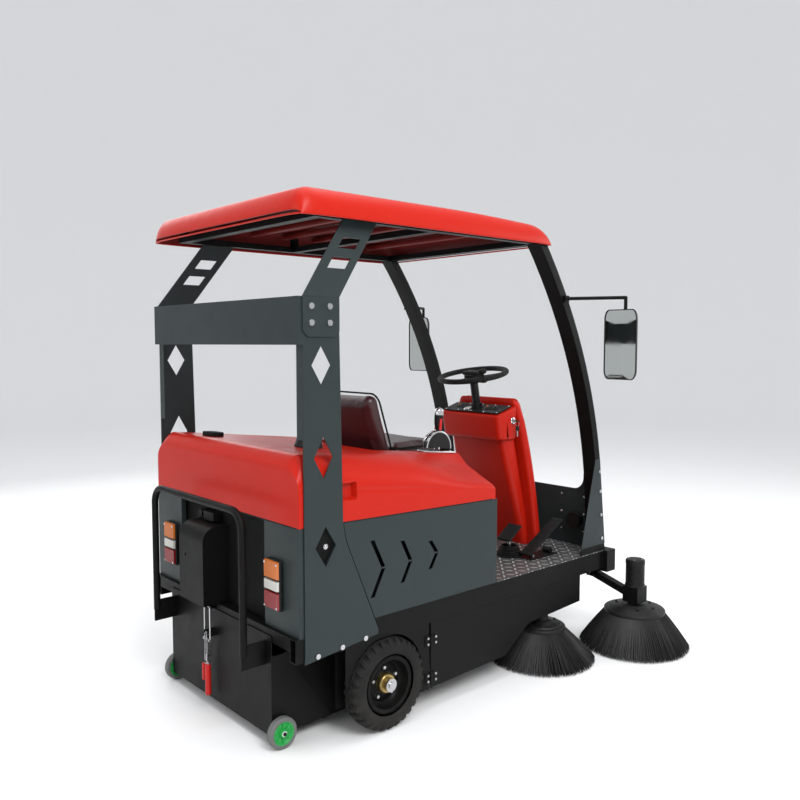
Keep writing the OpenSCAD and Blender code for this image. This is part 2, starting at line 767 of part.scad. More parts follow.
module castor(side) color([0.1, 0.6, 0.25]) placed() on_side(side)
  difference() {
    union() {
      rod_x(castor_d / 2, castor_x, castor_x + 30, castor_y, castor_d / 2);
      rod_x(14, castor_x - 2.5, castor_x + 33, castor_y, castor_d / 2);
    }
    rod_x(castor_pin_r + run_gap, castor_x - 6, castor_x + 36, castor_y, castor_d / 2);
  }

// ---------------------------------------------------------------- brushes

module main_brush() color(bristle_black) placed() {
  rod_x(roller_d / 2, -roller_l / 2, roller_l / 2, roller_y, roller_z);
  rod_x(roller_shaft_r, -roller_plate_in - 12, roller_plate_in + 12, roller_y, roller_z);
}

// a dished brush: disc on top, bristles flared to the floor, hub for the gearbox shaft
module side_brush(x, y, d, disc_r, disc_z, hub_top, side)
  color(bristle_black) placed() on_side(side) translate([x, y, 0]) {
    difference() {
      translate([0, 0, brush_low])
        cylinder(r1 = d / 2, r2 = disc_r, h = disc_z - brush_low, $fn = 72);
      translate([0, 0, brush_low - 1])
        cylinder(r1 = d / 2 - 75, r2 = disc_r - 60, h = disc_z - brush_low - 20, $fn = 72);
    }
    translate([0, 0, disc_z - 1]) cylinder(r1 = disc_r, r2 = disc_r - 22, h = disc_t);
    cylinder_to(30, disc_z, hub_top);
  }

module cylinder_to(r, z0, z1) translate([0, 0, z0]) cylinder(r = r, h = z1 - z0);

front_hub_top = 218;
mid_hub_top = 224;
gear_half = 42;
gear_top = 296;
motor_r = 43;
motor_top = 430;

module brush_arm(side) color(black) placed() on_side(side) difference() {
  union() {
    // gearbox and motor over the brush
    slab(front_brush_x - gear_half, front_brush_x + gear_half, front_brush_y - gear_half,
         front_brush_y + gear_half, front_hub_top + seat_gap, gear_top);
    rod_z(motor_r, gear_top - 1, motor_top, front_brush_x, front_brush_y);
    // arm to the pivot
    side_arm();
  }
  rod_y(arm_pin_r + run_gap, arm_pivot_y - 60, arm_pivot_y + 60, arm_pivot_x, arm_pivot_z);
}

module side_arm() hull() {
  rod_y(16, arm_pivot_y - arm_tube_w / 2, arm_pivot_y + arm_tube_w / 2,
        arm_pivot_x, arm_pivot_z, $fn = 32);
  slab(front_brush_x - gear_half - 2, front_brush_x - gear_half + 8,
       arm_pivot_y - arm_tube_w / 2, arm_pivot_y + arm_tube_w / 2, 250, 282);
}

mid_motor_r = 40;

module brush_drives() color(black) placed() both_sides() {
  translate([mid_brush_x, mid_brush_y, 0]) {
    cylinder_to(mid_motor_r, mid_hub_top + seat_gap, rail_bottom - 6);
    slab(-60, 46, -40, 40, rail_bottom - 6, rail_bottom);
  }
}

// ---------------------------------------------------------------- rear cover and seat

cover_rear = 405;
cover_front = -body_front + 11;
well_half = 262;
well_z = 950;
well_rear = -196;
cover_top_rear = cover_rear - 40;
cover_top_front = -580;
cover_fall = 98;

// the cover's outside, drawn in by inset; each row is one cross-section at a place
// along the machine: [y, half width low, z low, z side, half width top, z top, bulge],
// where the bulge is how far the shoulder's middle stands out of a straight slope
module cover_row(row, inset) translate([0, row[0], 0]) rotate([90, 0, 0])
  linear_extrude(0.4) polygon([
    [row[1] - inset, row[2]], [row[1] - inset, row[3]],
    [(row[1] + row[4]) / 2 + row[6] - inset, (row[3] + row[5] + 2.6 * row[6]) / 2 - inset],
    [row[4], row[5] - inset],
    [-row[4], row[5] - inset],
    [-(row[1] + row[4]) / 2 - row[6] + inset, (row[3] + row[5] + 2.6 * row[6]) / 2 - inset],
    [-row[1] + inset, row[3]], [-row[1] + inset, row[2]]]);

module cover_body(inset) {
  // [y, height of the side, half width of the top, height of the top, bulge]
  rows = [[cover_rear - inset, 960, 470, cover_top - 54, 18],
          [cover_top_rear, 985, 488, cover_top, 18],
          [cover_top_front, 876, 354, cover_top - cover_fall, 3],
          [cover_front + inset, 864, 340, cover_top - cover_fall - 6, 3]];
  for (i = [0 : len(rows) - 2]) hull() for (row = [rows[i], rows[i + 1]])
    cover_row([row[0], half_w, panel_z(row[0]) + cover_gap,
               row[1], row[2], row[3], row[4]], inset);
}

// slope and height of the cover's top
cover_slope = atan(cover_fall / (cover_top_rear - cover_top_front));
function cover_z(y) = cover_top - (cover_top_rear - y) * tan(cover_slope);

// stands a flat-based piece on the cover
module on_cover(x, y) translate([x, y, cover_z(y) + seat_gap]) rotate([cover_slope, 0, 0])
  children();

module rear_cover() color(red) placed() {
  difference() {
    union() {
      difference() {
        cover_body(0);
        slab(-well_half, well_half, -700, well_rear, well_z, 1300);
      }
    }
    difference() {
      translate([0, 0, -0.01]) cover_body(shell_t);
      slab(-well_half - shell_t, well_half + shell_t, -720, well_rear + shell_t,
           well_z - shell_t, 1300);
    }
    slab(-700, 700, -700, 700, 700, panel_z(-body_front) - 30);
  }
  // hinge leaves with their knuckles
  both_sides() difference() {
    union() {
      slab(451, 469, hinge_y + 2, cover_front + 3, hinge_z + 9, hinge_z + 40);
      slab(451, 469, hinge_y - 3, hinge_y + 3, hinge_z, hinge_z + 14);
      rod_x(hinge_r, 451, 469, hinge_y, hinge_z);
    }
    rod_x(hinge_pin_r + run_gap, 440, 480, hinge_y, hinge_z);
  }
}

cushion_front = -656;
back_lean = 18;
back_t = 82;
// where the backrest's front face meets the floor of the well
back_y = -362;

// a slice of the backrest's plane, at a height above the well floor
function back_face(z) = back_y + z * tan(back_lean);

module seat_cushion() color(vinyl) placed()
  translate([0, 0, well_z + seat_gap])
    side_plate([[cushion_front, 0], [back_face(0) - seat_gap, 0],
                [back_face(cushion_t) - seat_gap, cushion_t], [cushion_front, cushion_t]],
               -seat_w / 2, seat_w);

module seat_back() color(vinyl) placed()
  translate([0, back_y, well_z + seat_gap]) rotate([-back_lean, 0, 0])
    slab(-seat_w / 2, seat_w / 2, 0, back_t, back_t * tan(back_lean), back_h + cushion_t);

beacon_x = -200;
beacon_y = 110;
beacon_r = 58;
beacon_base = 34;
beacon_top = 124;

module beacon() color("orange") placed() on_cover(beacon_x, beacon_y) {
  cylinder_to(beacon_r, 0, beacon_base);
  cylinder_to(beacon_r - 10, beacon_base, beacon_top);
}

cap_x = 285;
cap_y = 274;

module tank_cap() color(rubber_black) placed() on_cover(cap_x, cap_y) cylinder_to(46, 0, 20);

quad_x = -325;
quad_y = -490;
quad_r = 78;
quad_t = 34;
quad_base = 20;
lever_pin_r = 5;
lever_t = 10;

module lever_quadrant() color(zinc) placed() on_cover(quad_x, quad_y) difference() {
  union() {
    intersection() {
      rod_x(quad_r, -quad_t / 2, quad_t / 2, 0, quad_base);
      slab(-60, 60, -100, 100, 0, quad_r + 40);
    }
    slab(-24, 24, -95, 95, 0, quad_base);
  }
  slab(-lever_t / 2 - 0.5, lever_t / 2 + 0.5, -68, 68, quad_base - 14, quad_base + quad_r + 1);
  rod_x(lever_pin_r + 2 * run_gap, -quad_t, quad_t, 0, quad_base);
}

module hand_lever() color(black) placed() on_cover(quad_x, quad_y) {
  slab(-lever_t / 2, lever_t / 2, -8, 8, quad_base - 9, quad_base + 90);
  rod_x(lever_pin_r, -quad_t / 2, quad_t / 2, 0, quad_base);
  translate([0, 0, quad_base + 88]) cylinder(r1 = 11, r2 = 17, h = 84);
}

// ---------------------------------------------------------------- hopper

hopper_rear = rear_end + seat_gap + sheet_t;
castor_pin_r = 6;
gusset_t = 6;
castor_x = hopper_half + gusset_t + 3;
castor_y = hopper_rear - 32;
hopper_y0 = hopper_rear - hopper_l;

module hopper() color(black) placed() {
  difference() {
    union() {
      slab(-hopper_half, hopper_half, hopper_y0, rear_end + seat_gap, hopper_z, hopper_top);
      // rear plate, taller than the bin
      slab(-hopper_half, hopper_half, rear_end + seat_gap, hopper_rear, hopper_z, catch_z - 12);
      both_sides() {
        side_plate([[hopper_rear, hopper_z], [hopper_rear, catch_z - 12],
                    [rear_end + seat_gap, catch_z - 12], [rear_end + seat_gap, hopper_top],
                    [hopper_rear - 60, hopper_top], [hopper_rear - 280, hopper_z]],
                   hopper_half, gusset_t);
        rod_x(castor_pin_r, hopper_half, castor_x + 38, castor_y, castor_d / 2);
      }
      // ears for the latch
      for (x = [catch_x - 15, catch_x + 11])
        slab(x, x + 4, hopper_rear - 1, latch_y + 9, latch_z - 12, latch_z + 12);
    }
    rod_x(latch_pin_r + run_gap, catch_x - 20, catch_x + 20, latch_y, latch_z);
    slab(-hopper_half + sheet_t, hopper_half - sheet_t, hopper_y0 - 1,
         rear_end + seat_gap - sheet_t, hopper_z + sheet_t, hopper_top - sheet_t);
  }
}

handle_foot_z = 360;
handle_bend = 70;

module hopper_handle() color(black) placed() {
  r = handle_d / 2;
  rod_x(r, -handle_half + handle_bend, handle_half - handle_bend, handle_y, handle_top - r);
  both_sides() {
    translate([handle_half - handle_bend, handle_y, handle_top - r - handle_bend])
      rotate([90, 0, 0]) rotate_extrude(angle = 90) translate([handle_bend, 0]) circle(r = r);
    rod_z(r, handle_foot_z, handle_top - r - handle_bend, handle_half, handle_y);
    // foot plate that bolts to the hopper's rear plate
    slab(handle_half - 3, handle_half + 3, hopper_rear, handle_y + r - 2,
         handle_foot_z - 50, handle_foot_z + 40);
  }
}

latch_y = hopper_rear + 30;
latch_z = 330;
latch_pin_r = 4;
hook_drop = 25;
hook_r = 3;
hook_half = 22;

module latch_handle() color(zinc) placed() {
  // pivot pin, side plates and the hook's pin
  rod_x(latch_pin_r, catch_x - 16, catch_x + 16, latch_y, latch_z);
  for (x = [catch_x - 10, catch_x + 6])
    slab(x, x + 4, latch_y - 9, latch_y + 9, latch_z - 120, latch_z + 8);
  rod_x(latch_pin_r - 0.5, catch_x - hook_half - 5, catch_x + hook_half + 5, latch_y,
        latch_z - hook_drop);
  slab(catch_x - 10, catch_x + 10, latch_y - 3, latch_y + 3, latch_z - 130, latch_z - 90);
  rod_z(13, latch_z - 255, latch_z - 128, catch_x, latch_y);
  rod_z(8, latch_z - 200, latch_z - 128, catch_x + 26, latch_y + 4);
  slab(catch_x, catch_x + 28, latch_y - 2, latch_y + 4, latch_z - 134, latch_z - 126);
}

module latch_hook() color(zinc) placed() {
  for (s = [-1, 1]) rod_z(hook_r, latch_z - hook_drop + 5, catch_z + 4,
                          catch_x + s * hook_half, latch_y);
  rod_x(hook_r, catch_x - hook_half - hook_r, catch_x + hook_half + hook_r, latch_y,
        catch_z + seat_gap + hook_r);
  for (s = [-1, 1]) difference() {
    rod_x(7, catch_x + s * hook_half - 4, catch_x + s * hook_half + 4, latch_y,
          latch_z - hook_drop);
    rod_x(latch_pin_r - 0.5 + run_gap, catch_x - 40, catch_x + 40, latch_y,
          latch_z - hook_drop);
  }
}

// ---------------------------------------------------------------- pedals, horn, mirrors

accel_x = -400;
accel_y = -1030;
accel_z = deck_z + 20;
accel_l = 285;
accel_a = 28;
accel_half = 34;
pedal_pin_r = 5;
brake_x = -300;
brake_y = -1020;
brake_z = deck_z + 16;

module pedal_base() color(black) placed() {
  // accelerator bracket
  slab(accel_x - accel_half - 10, accel_x + accel_half + 10, accel_y - 190, accel_y + 20,
       deck_z, deck_z + 4);
  for (s = [-1, 1]) difference() {
    slab(accel_x + s * (accel_half + 4) - 3, accel_x + s * (accel_half + 4) + 3,
         accel_y - 10, accel_y + 10, deck_z + 4, accel_z + 9);
    rod_x(pedal_pin_r + run_gap, accel_x - 60, accel_x + 60, accel_y, accel_z);
  }
  rod_x(13, accel_x - 22, accel_x + 22, accel_y - 160, deck_z + 17);
  // brake boot: a corrugated rubber cone round the brake arm
  difference() {
    union() for (i = [0 : 3]) translate([brake_x, brake_y, deck_z + 12 * i])
      cylinder(r1 = 62 - 7 * i, r2 = 56 - 7 * i, h = 12);
    translate([brake_x, brake_y, deck_z - 1]) cylinder(r = 33, h = 60);
  }
  both_ears(brake_x, brake_y, brake_z);
}

module both_ears(x, y, z) for (s = [-1, 1]) difference() {
  slab(x + s * 16 - 3, x + s * 16 + 3, y - 9, y + 9, deck_z, z + 9);
  rod_x(pedal_pin_r + run_gap, x - 40, x + 40, y, z);
}

module accelerator_pedal() color(rubber_black) placed() {
  rod_x(pedal_pin_r, accel_x - accel_half - 10, accel_x + accel_half + 10, accel_y, accel_z);
  translate([accel_x, accel_y, accel_z]) rotate([-accel_a, 0, 0]) {
    slab(-accel_half + 1, accel_half - 1, -accel_l, 12, 0, 12);
  }
}

module brake_pedal() color(rubber_black) placed() {
  rod_x(pedal_pin_r, brake_x - 20, brake_x + 20, brake_y, brake_z);
  rod_z(9, brake_z - 4, brake_z + 92, brake_x, brake_y);
  translate([brake_x, brake_y, brake_z + 96]) rotate([-35, 0, 0])
    slab(-36, 36, -45, 45, -6, 6);
}

module horn() color(black) placed() {
  rod_y(40, panel_front_y + sheet_t + 8, panel_front_y + sheet_t + 40, -400, 590);
  rod_y(8, panel_front_y + sheet_t, panel_front_y + sheet_t + 9, -400, 590);
}

arm_z = 1706;
arm_r = 8;
arm_root_y = -1112;
mirror_top = 1652;
mirror_h = 320;
mirror_w = 170;
mirror_t = 26;
// place of each mirror's upright; the left one is turned further forward
function elbow(side) = side == "right" ? [790, -1240] : [690, -1366];

module mirror_arms() color(black) placed() for (side = ["right", "left"]) on_side(side) {
  // clamp block on the pillar
  slab(pillar_out, pillar_out + 12, arm_root_y - 12, arm_root_y + 18, arm_z - 18, arm_z + 14);
  hull() {
    translate([pillar_out + 10, arm_root_y, arm_z]) sphere(r = arm_r, $fn = 24);
    translate([elbow(side)[0], elbow(side)[1], arm_z]) sphere(r = arm_r, $fn = 24);
  }
  rod_z(arm_r, mirror_top - 40, arm_z, elbow(side)[0], elbow(side)[1]);
}

module mirror_head(side) color(black) placed() on_side(side) difference() {
  translate([elbow(side)[0], elbow(side)[1] + 16, mirror_top - mirror_h]) {
    slab(-mirror_w / 2, mirror_w / 2, 0, mirror_t, 0, mirror_h);
    translate([0, -16, mirror_h - 54]) cylinder(r = 18, h = 30);
  }
  rod_z(arm_r + run_gap, mirror_top - 60, mirror_top + 20, elbow(side)[0], elbow(side)[1]);
}

// ---------------------------------------------------------------- fasteners

module screw_x(x, y, z, r) rod_x(r, x, x + 5, y, z);

module frame_bolts() color(zinc) placed() {
  both_sides() {
    for (y = [272, 351], z = [1570, 1628]) screw_x(strut_x + leg_t, y, z, 11);
    for (y = [110, 220, 330]) screw_x(leg_x + leg_t, y, 392 - 0.06 * (y - 46), 10);
    // washer and cap nut on each rear stub axle
    rod_x(26, stub_end, stub_end + 3, 0, wheel_r);
    rod_x(13, stub_end + 3, stub_end + 9, 0, wheel_r);
    for (z = gusset_bolts) screw_x(pillar_out + sheet_t, gusset_bolt_y(z), z, 8);
  }
  // pins of the front brush arms
  both_sides() rod_y(arm_pin_r, arm_pivot_y - 34, arm_pivot_y + 34, arm_pivot_x, arm_pivot_z);
}

chassis_frame();
floor_plate();
body_panels();
bulkheads();
fan_box();
rear_legs();
roof_struts();
crossbeam();
roof_frame();
roof_canopy();
front_pillars();
front_panel();
console();
dash_plate();
steering_column();
tail_lamps();
battery_pack();
fender_skirts();
frame_bolts();
mirror_arms();
horn();
pedal_base();
brush_drives();
rear_wheel("right");  // rear_wheel_right
rear_wheel("left");  // rear_wheel_left
front_fork();
front_wheel();
steering_wheel();
main_brush();
side_brush(front_brush_x, front_brush_y, front_brush_d, front_disc_r, front_disc_z,  // side_brush_front_right
             front_hub_top, "right");
side_brush(front_brush_x, front_brush_y, front_brush_d, front_disc_r, front_disc_z,  // side_brush_front_left
             front_hub_top, "left");
side_brush(mid_brush_x, mid_brush_y, mid_brush_d, mid_disc_r, mid_disc_z,  // side_brush_mid_right
             mid_hub_top, "right");
side_brush(mid_brush_x, mid_brush_y, mid_brush_d, mid_disc_r, mid_disc_z,  // side_brush_mid_left
             mid_hub_top, "left");
brush_arm("right");  // brush_arm_right
brush_arm("left");  // brush_arm_left
rear_cover();
seat_cushion();
seat_back();
beacon();
tank_cap();
lever_quadrant();
hand_lever();
hopper();
hopper_handle();
latch_handle();
latch_hook();
castor("right");  // castor_right
castor("left");  // castor_left
accelerator_pedal();
brake_pedal();
ignition_key();
mirror_head("right");  // mirror_right
mirror_head("left");  // mirror_left
skirt_door("right");  // skirt_door_right
skirt_door("left");  // skirt_door_left
rocker(0);  // rocker_1
rocker(1);  // rocker_2
rocker(2);  // rocker_3
rocker(3);  // rocker_4
rocker(4);  // rocker_5
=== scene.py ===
# %% [markdown]
# # A ride-on sweeper, made from its CAD frame
# The machine arrives as a set of exact CAD pieces that carry the sizes, the joints and the
# places. This lesson keeps the flat steel pieces as they are and gives them paint. It makes
# new surfaces for what sheet steel is not: moulded covers, tyres, bristles, the padded seat.

# %% Load the frame
import json
import math

import bmesh
import bpy
import numpy as np
from mathutils import Matrix, Vector


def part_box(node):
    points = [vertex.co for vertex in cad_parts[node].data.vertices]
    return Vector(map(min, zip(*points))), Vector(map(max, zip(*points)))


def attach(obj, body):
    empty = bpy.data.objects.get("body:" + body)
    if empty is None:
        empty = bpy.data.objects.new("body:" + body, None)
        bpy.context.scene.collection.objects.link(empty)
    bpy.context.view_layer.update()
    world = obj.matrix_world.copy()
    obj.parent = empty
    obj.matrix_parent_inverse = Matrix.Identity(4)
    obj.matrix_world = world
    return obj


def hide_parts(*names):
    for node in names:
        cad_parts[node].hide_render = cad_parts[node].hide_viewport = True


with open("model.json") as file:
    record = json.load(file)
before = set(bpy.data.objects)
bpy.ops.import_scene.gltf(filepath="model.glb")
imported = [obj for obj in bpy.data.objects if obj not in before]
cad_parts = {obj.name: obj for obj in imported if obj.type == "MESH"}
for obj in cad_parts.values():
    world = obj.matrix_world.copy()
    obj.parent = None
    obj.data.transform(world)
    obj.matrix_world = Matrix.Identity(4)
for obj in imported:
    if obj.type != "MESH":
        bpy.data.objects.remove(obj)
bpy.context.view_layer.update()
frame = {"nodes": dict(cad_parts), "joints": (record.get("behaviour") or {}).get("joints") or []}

# %% [markdown]
# ## Places
# Every place is read from the CAD pieces. Lengths along the machine are easiest to think of
# from the rear axle, so that is found first; the front of the machine is at negative y.

# %% Places and short names
def box_of(node):
    """Lowest corner, highest corner and middle of a CAD piece, as arrays in metres."""
    low, high = (np.array(corner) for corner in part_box(node))
    return low, high, (low + high) / 2


def joint_place(name):
    """Where a joint's axis passes, from the frame, as an array in metres."""
    joint = next(j for j in frame["joints"] if j["name"] == name)
    return np.array(joint["pos_m"], float)


rng = np.random.default_rng(7)
AXLE = box_of("rear_wheel_left")[2]          # middle of the left rear wheel
axle_y = AXLE[1]
right, left = -1, 1                           # the driver's right is at negative x
SIDES = (("right", right), ("left", left))
print("rear axle at y =", round(axle_y, 4), "height", round(AXLE[2], 4))

# %% [markdown]
# ## Surfaces from arrays
# A surface here is a grid of points: one number walks along it, another walks across it, and
# neighbours are joined by quads. Whole arrays are computed at once. A piece gathers several
# such grids, merges the seams and poles, and turns all faces outwards.

# %% Grids to meshes
def quads(points, close_u=False, close_v=False):
    """Corners and quads of a grid (rows, columns, 3): each point is joined to the next row
    and the next column; a closed direction also joins its last line to its first."""
    rows, columns = points.shape[:2]
    index = np.arange(rows * columns).reshape(rows, columns)
    if close_u:
        index = np.vstack([index, index[:1]])
    if close_v:
        index = np.hstack([index, index[:, :1]])
    a, b, c, d = index[:-1, :-1], index[1:, :-1], index[1:, 1:], index[:-1, 1:]
    return points.reshape(-1, 3), np.stack([a, b, c, d], -1).reshape(-1, 4)


def piece(name, parts, body, materials, replaces=(), smooth_angle=40, weld=1e-5, flip=True):
    """One object from parts [(points, quads, material number)], riding on a body."""
    points, faces, numbers, start = [], [], [], 0
    for corners, sides, number in parts:
        points.append(corners)
        faces.append(sides + start)
        numbers.append(np.full(len(sides), number))
        start += len(corners)
    points, faces, numbers = map(np.concatenate, (points, faces, numbers))
    mesh = bpy.data.meshes.new(name)
    mesh.vertices.add(len(points))
    mesh.vertices.foreach_set("co", points.astype(np.float32).ravel())
    mesh.loops.add(faces.size)
    mesh.loops.foreach_set("vertex_index", faces.astype(np.int32).ravel())
    mesh.polygons.add(len(faces))
    mesh.polygons.foreach_set("loop_start", np.arange(0, faces.size, 4, dtype=np.int32))
    mesh.polygons.foreach_set("material_index", numbers.astype(np.int32))
    mesh.update(calc_edges=True)
    mesh.validate()
    for material in materials:
        mesh.materials.append(material)
    welded = bmesh.new()
    welded.from_mesh(mesh)
    bmesh.ops.remove_doubles(welded, verts=welded.verts, dist=weld)
    if flip:
        bmesh.ops.recalc_face_normals(welded, faces=welded.faces)
    welded.to_mesh(mesh)
    welded.free()
    made = bpy.data.objects.new(name, mesh)
    bpy.context.scene.collection.objects.link(made)
    mesh.shade_smooth()
    if smooth_angle:
        mesh.set_sharp_from_angle(angle=math.radians(smooth_angle))
    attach(made, body)
    if replaces:
        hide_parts(*replaces)
    print(f"{name}: {len(mesh.vertices)} points, {len(mesh.polygons)} faces")
    return made


def finish_edges(made, width=0.0015, segments=2, angle=40):
    """A small bevel on every edge sharper than the angle, then normals weighted by face."""
    bevel = made.modifiers.new("edges", "BEVEL")
    bevel.width, bevel.segments, bevel.limit_method = width, segments, "ANGLE"
    bevel.angle_limit = math.radians(angle)
    made.modifiers.new("weights", "WEIGHTED_NORMAL").keep_sharp = True
    return made


# %% [markdown]
# ### Shapes used again and again
# A turned shape is a profile of (radius, place along the axis) swung round. A tube is a circle
# carried along a path. A soft-cornered block is a ball whose eight parts are pulled apart.

# %% Turned shapes, tubes and blocks
def turned(profile, centre, axis="x", count=48):
    """Each profile point (r, s) becomes a circle: (s, r cos t, r sin t) on the chosen axis."""
    profile = np.asarray(profile, float)
    t = np.linspace(0, 2 * np.pi, count, endpoint=False)
    r, s = profile[:, :1], np.repeat(profile[:, 1:], count, 1)
    ring = {"x": (s, r * np.cos(t), r * np.sin(t)), "y": (r * np.sin(t), s, r * np.cos(t)),
            "z": (r * np.cos(t), r * np.sin(t), s)}[axis]
    return quads(np.stack(ring, -1) + np.asarray(centre), close_v=True)


def unit(vectors):
    return vectors / np.maximum(np.linalg.norm(vectors, axis=-1, keepdims=True), 1e-12)


def carried(profile, path, across=(0, 0, 1), close_path=False, close_profile=True):
    """A flat profile (p, q) carried along a path: point + p * side + q * up, where side is
    the path's direction crossed with a fixed vector and up is side crossed with direction."""
    path, profile = np.asarray(path, float), np.asarray(profile, float)
    if close_path:
        ahead = np.roll(path, -1, 0) - np.roll(path, 1, 0)
    else:
        ahead = np.gradient(path, axis=0)
    ahead = unit(ahead)
    side = unit(np.cross(ahead, np.asarray(across, float)))
    up = np.cross(side, ahead)
    grid = path[:, None] + profile[None, :, :1] * side[:, None] + profile[None, :, 1:] * up[:, None]
    return quads(grid, close_u=close_path, close_v=close_profile)


def circle(radius, count=16, squash=1.0):
    t = np.linspace(0, 2 * np.pi, count, endpoint=False)
    return np.stack([radius * np.cos(t), radius * squash * np.sin(t)], -1)


def tube(path, radius, across=(0, 0, 1), count=14, close=False, ends=True):
    """A round bar along a path, with flat ends."""
    path = np.asarray(path, float)
    parts = [carried(circle(radius, count), path, across, close_path=close)]
    if ends and not close:
        for end in (0, -1):
            ring = carried(circle(radius, count), path, across)[0].reshape(len(path), count, 3)
            cap = np.stack([ring[end], np.repeat(path[end][None], count, 0)])
            parts.append(quads(cap, close_v=True))
    return merged(parts)


def merged(parts):
    """Several (points, quads) pairs as one pair."""
    start, points, faces = 0, [], []
    for corners, sides in parts:
        points.append(corners)
        faces.append(sides + start)
        start += len(corners)
    return np.concatenate(points), np.concatenate(faces)


def block(low, high, radius=0.002, steps=3):
    """A ball's points d * radius, each pulled to the nearest corner of the box inside."""
    low, high = np.minimum(low, high), np.maximum(low, high)
    radius = min(radius, 0.499 * (high - low).min())
    half = (high - low) / 2 - radius
    turn = np.concatenate([np.linspace(k * 90, k * 90 + 90, steps + 1) for k in range(4)])
    part = np.repeat(np.arange(4), steps + 1)
    tilt = np.concatenate([np.linspace(-90, 0, steps + 1), np.linspace(0, 90, steps + 1)])
    top = np.repeat([-1, 1], steps + 1)
    a, b = np.radians(turn)[None], np.radians(tilt)[:, None]
    ball = np.stack([np.cos(b) * np.cos(a), np.cos(b) * np.sin(a), np.sin(b) + 0 * a], -1)
    corner = np.stack([np.where((part == 0) | (part == 3), 1, -1) + 0 * b,
                       np.where(part < 2, 1, -1) + 0 * b, top[:, None] + 0 * a], -1)
    grid = ball * radius + corner * half
    ends = [np.broadcast_to([0, 0, z], (1, len(turn), 3)) for z in (grid[0, 0, 2], grid[-1, 0, 2])]
    grid = np.concatenate([ends[0], grid, ends[1]]) + (low + high) / 2
    return quads(grid, close_v=True)


def moved(part, matrix):
    """A part turned and moved by a 4 x 4 matrix."""
    matrix = np.array(matrix)
    return part[0] @ matrix[:3, :3].T + matrix[:3, 3], part[1]


def mirrored(part, side):
    """The part itself on the left, its mirror image in x = 0 on the right."""
    return part[0] * np.array([1.0 if side == left else -1.0, 1, 1]), part[1]


def placed_at(point, turn_x=0.0, turn_y=0.0, turn_z=0.0):
    """A matrix that turns by degrees about x, then y, then z, and then moves to a point."""
    turn = (Matrix.Rotation(math.radians(turn_z), 4, "Z")
            @ Matrix.Rotation(math.radians(turn_y), 4, "Y")
            @ Matrix.Rotation(math.radians(turn_x), 4, "X"))
    return Matrix.Translation(Vector(point)) @ turn


def bolt(centre, radius, height, axis="x", sign=1, domed=True):
    """A washer under a button head: a turned profile that stands on a face and points along
    the axis; sign is the direction of the head."""
    r, h = radius, height * sign
    head = [(r, 0), (r, h * 0.25), (r * 0.78, h * 0.28), (r * 0.76, h * 0.7)]
    head += [(r * 0.6, h * 0.95), (r * 0.3, h * 1.0), (r * 0.22, h * 0.8), (0, h * 0.78)]
    if not domed:
        head = [(r, 0), (r, h * 0.3), (r * 0.7, h * 0.32), (r * 0.66, h), (0, h)]
    return turned(head, centre, axis, count=14 if domed else 6)


# %% [markdown]
# ## Effects shared by the materials
# Real paint, plastic and rubber are never one flat colour. One node group gives what most
# finishes here share: a slow drift of colour, a fine grain for the bump, dust that settles
# near the floor, and bare rubbed spots. Each finish sets its own amounts.

# %% Node groups
def new_group(name, inputs, outputs):
    """An empty group with named sockets; returns the tree and its two end nodes."""
    tree = bpy.data.node_groups.new(name, "ShaderNodeTree")
    for label, kind, value in inputs:
        socket = tree.interface.new_socket(label, in_out="INPUT", socket_type=kind)
        socket.default_value = value
    for label, kind in outputs:
        tree.interface.new_socket(label, in_out="OUTPUT", socket_type=kind)
    return tree, tree.nodes.new("NodeGroupInput"), tree.nodes.new("NodeGroupOutput")


def node(tree, kind, **values):
    """Adds a node; keywords that name a property set it, the others set a socket."""
    made = tree.nodes.new("ShaderNode" + kind)
    for key, value in values.items():
        if hasattr(made, key):
            setattr(made, key, value)
        else:
            made.inputs[key.replace("_", " ")].default_value = value
    return made


def math_node(tree, operation, first, second=None, third=None, clamp=False):
    """first (operation) second; each is a socket or a number."""
    made = tree.nodes.new("ShaderNodeMath")
    made.operation, made.use_clamp = operation, clamp
    for slot_number, value in enumerate((first, second, third)):
        if value is None:
            continue
        if isinstance(value, (int, float)):
            made.inputs[slot_number].default_value = value
        else:
            tree.links.new(value, made.inputs[slot_number])
    return made.outputs[0]


def noise(tree, place, scale, detail=4.0, roughness=0.55):
    made = node(tree, "TexNoise", Scale=scale, Detail=detail, Roughness=roughness)
    tree.links.new(place, made.inputs["Vector"])
    return made.outputs["Fac"]


def between(tree, value, low, high):
    """Stretches low..high to 0..1 and cuts off the rest."""
    made = node(tree, "MapRange")
    made.inputs["From Min"].default_value, made.inputs["From Max"].default_value = low, high
    tree.links.new(value, made.inputs["Value"])
    return made.outputs["Result"]


def blend_colours(tree, amount, first, second):
    """first where the amount is 0, second where it is 1."""
    made = tree.nodes.new("ShaderNodeMix")
    made.data_type = "RGBA"
    for value, label in ((amount, 0), (first, 6), (second, 7)):
        if isinstance(value, (int, float, tuple)):
            made.inputs[label].default_value = value
        else:
            tree.links.new(value, made.inputs[label])
    return made.outputs[2]


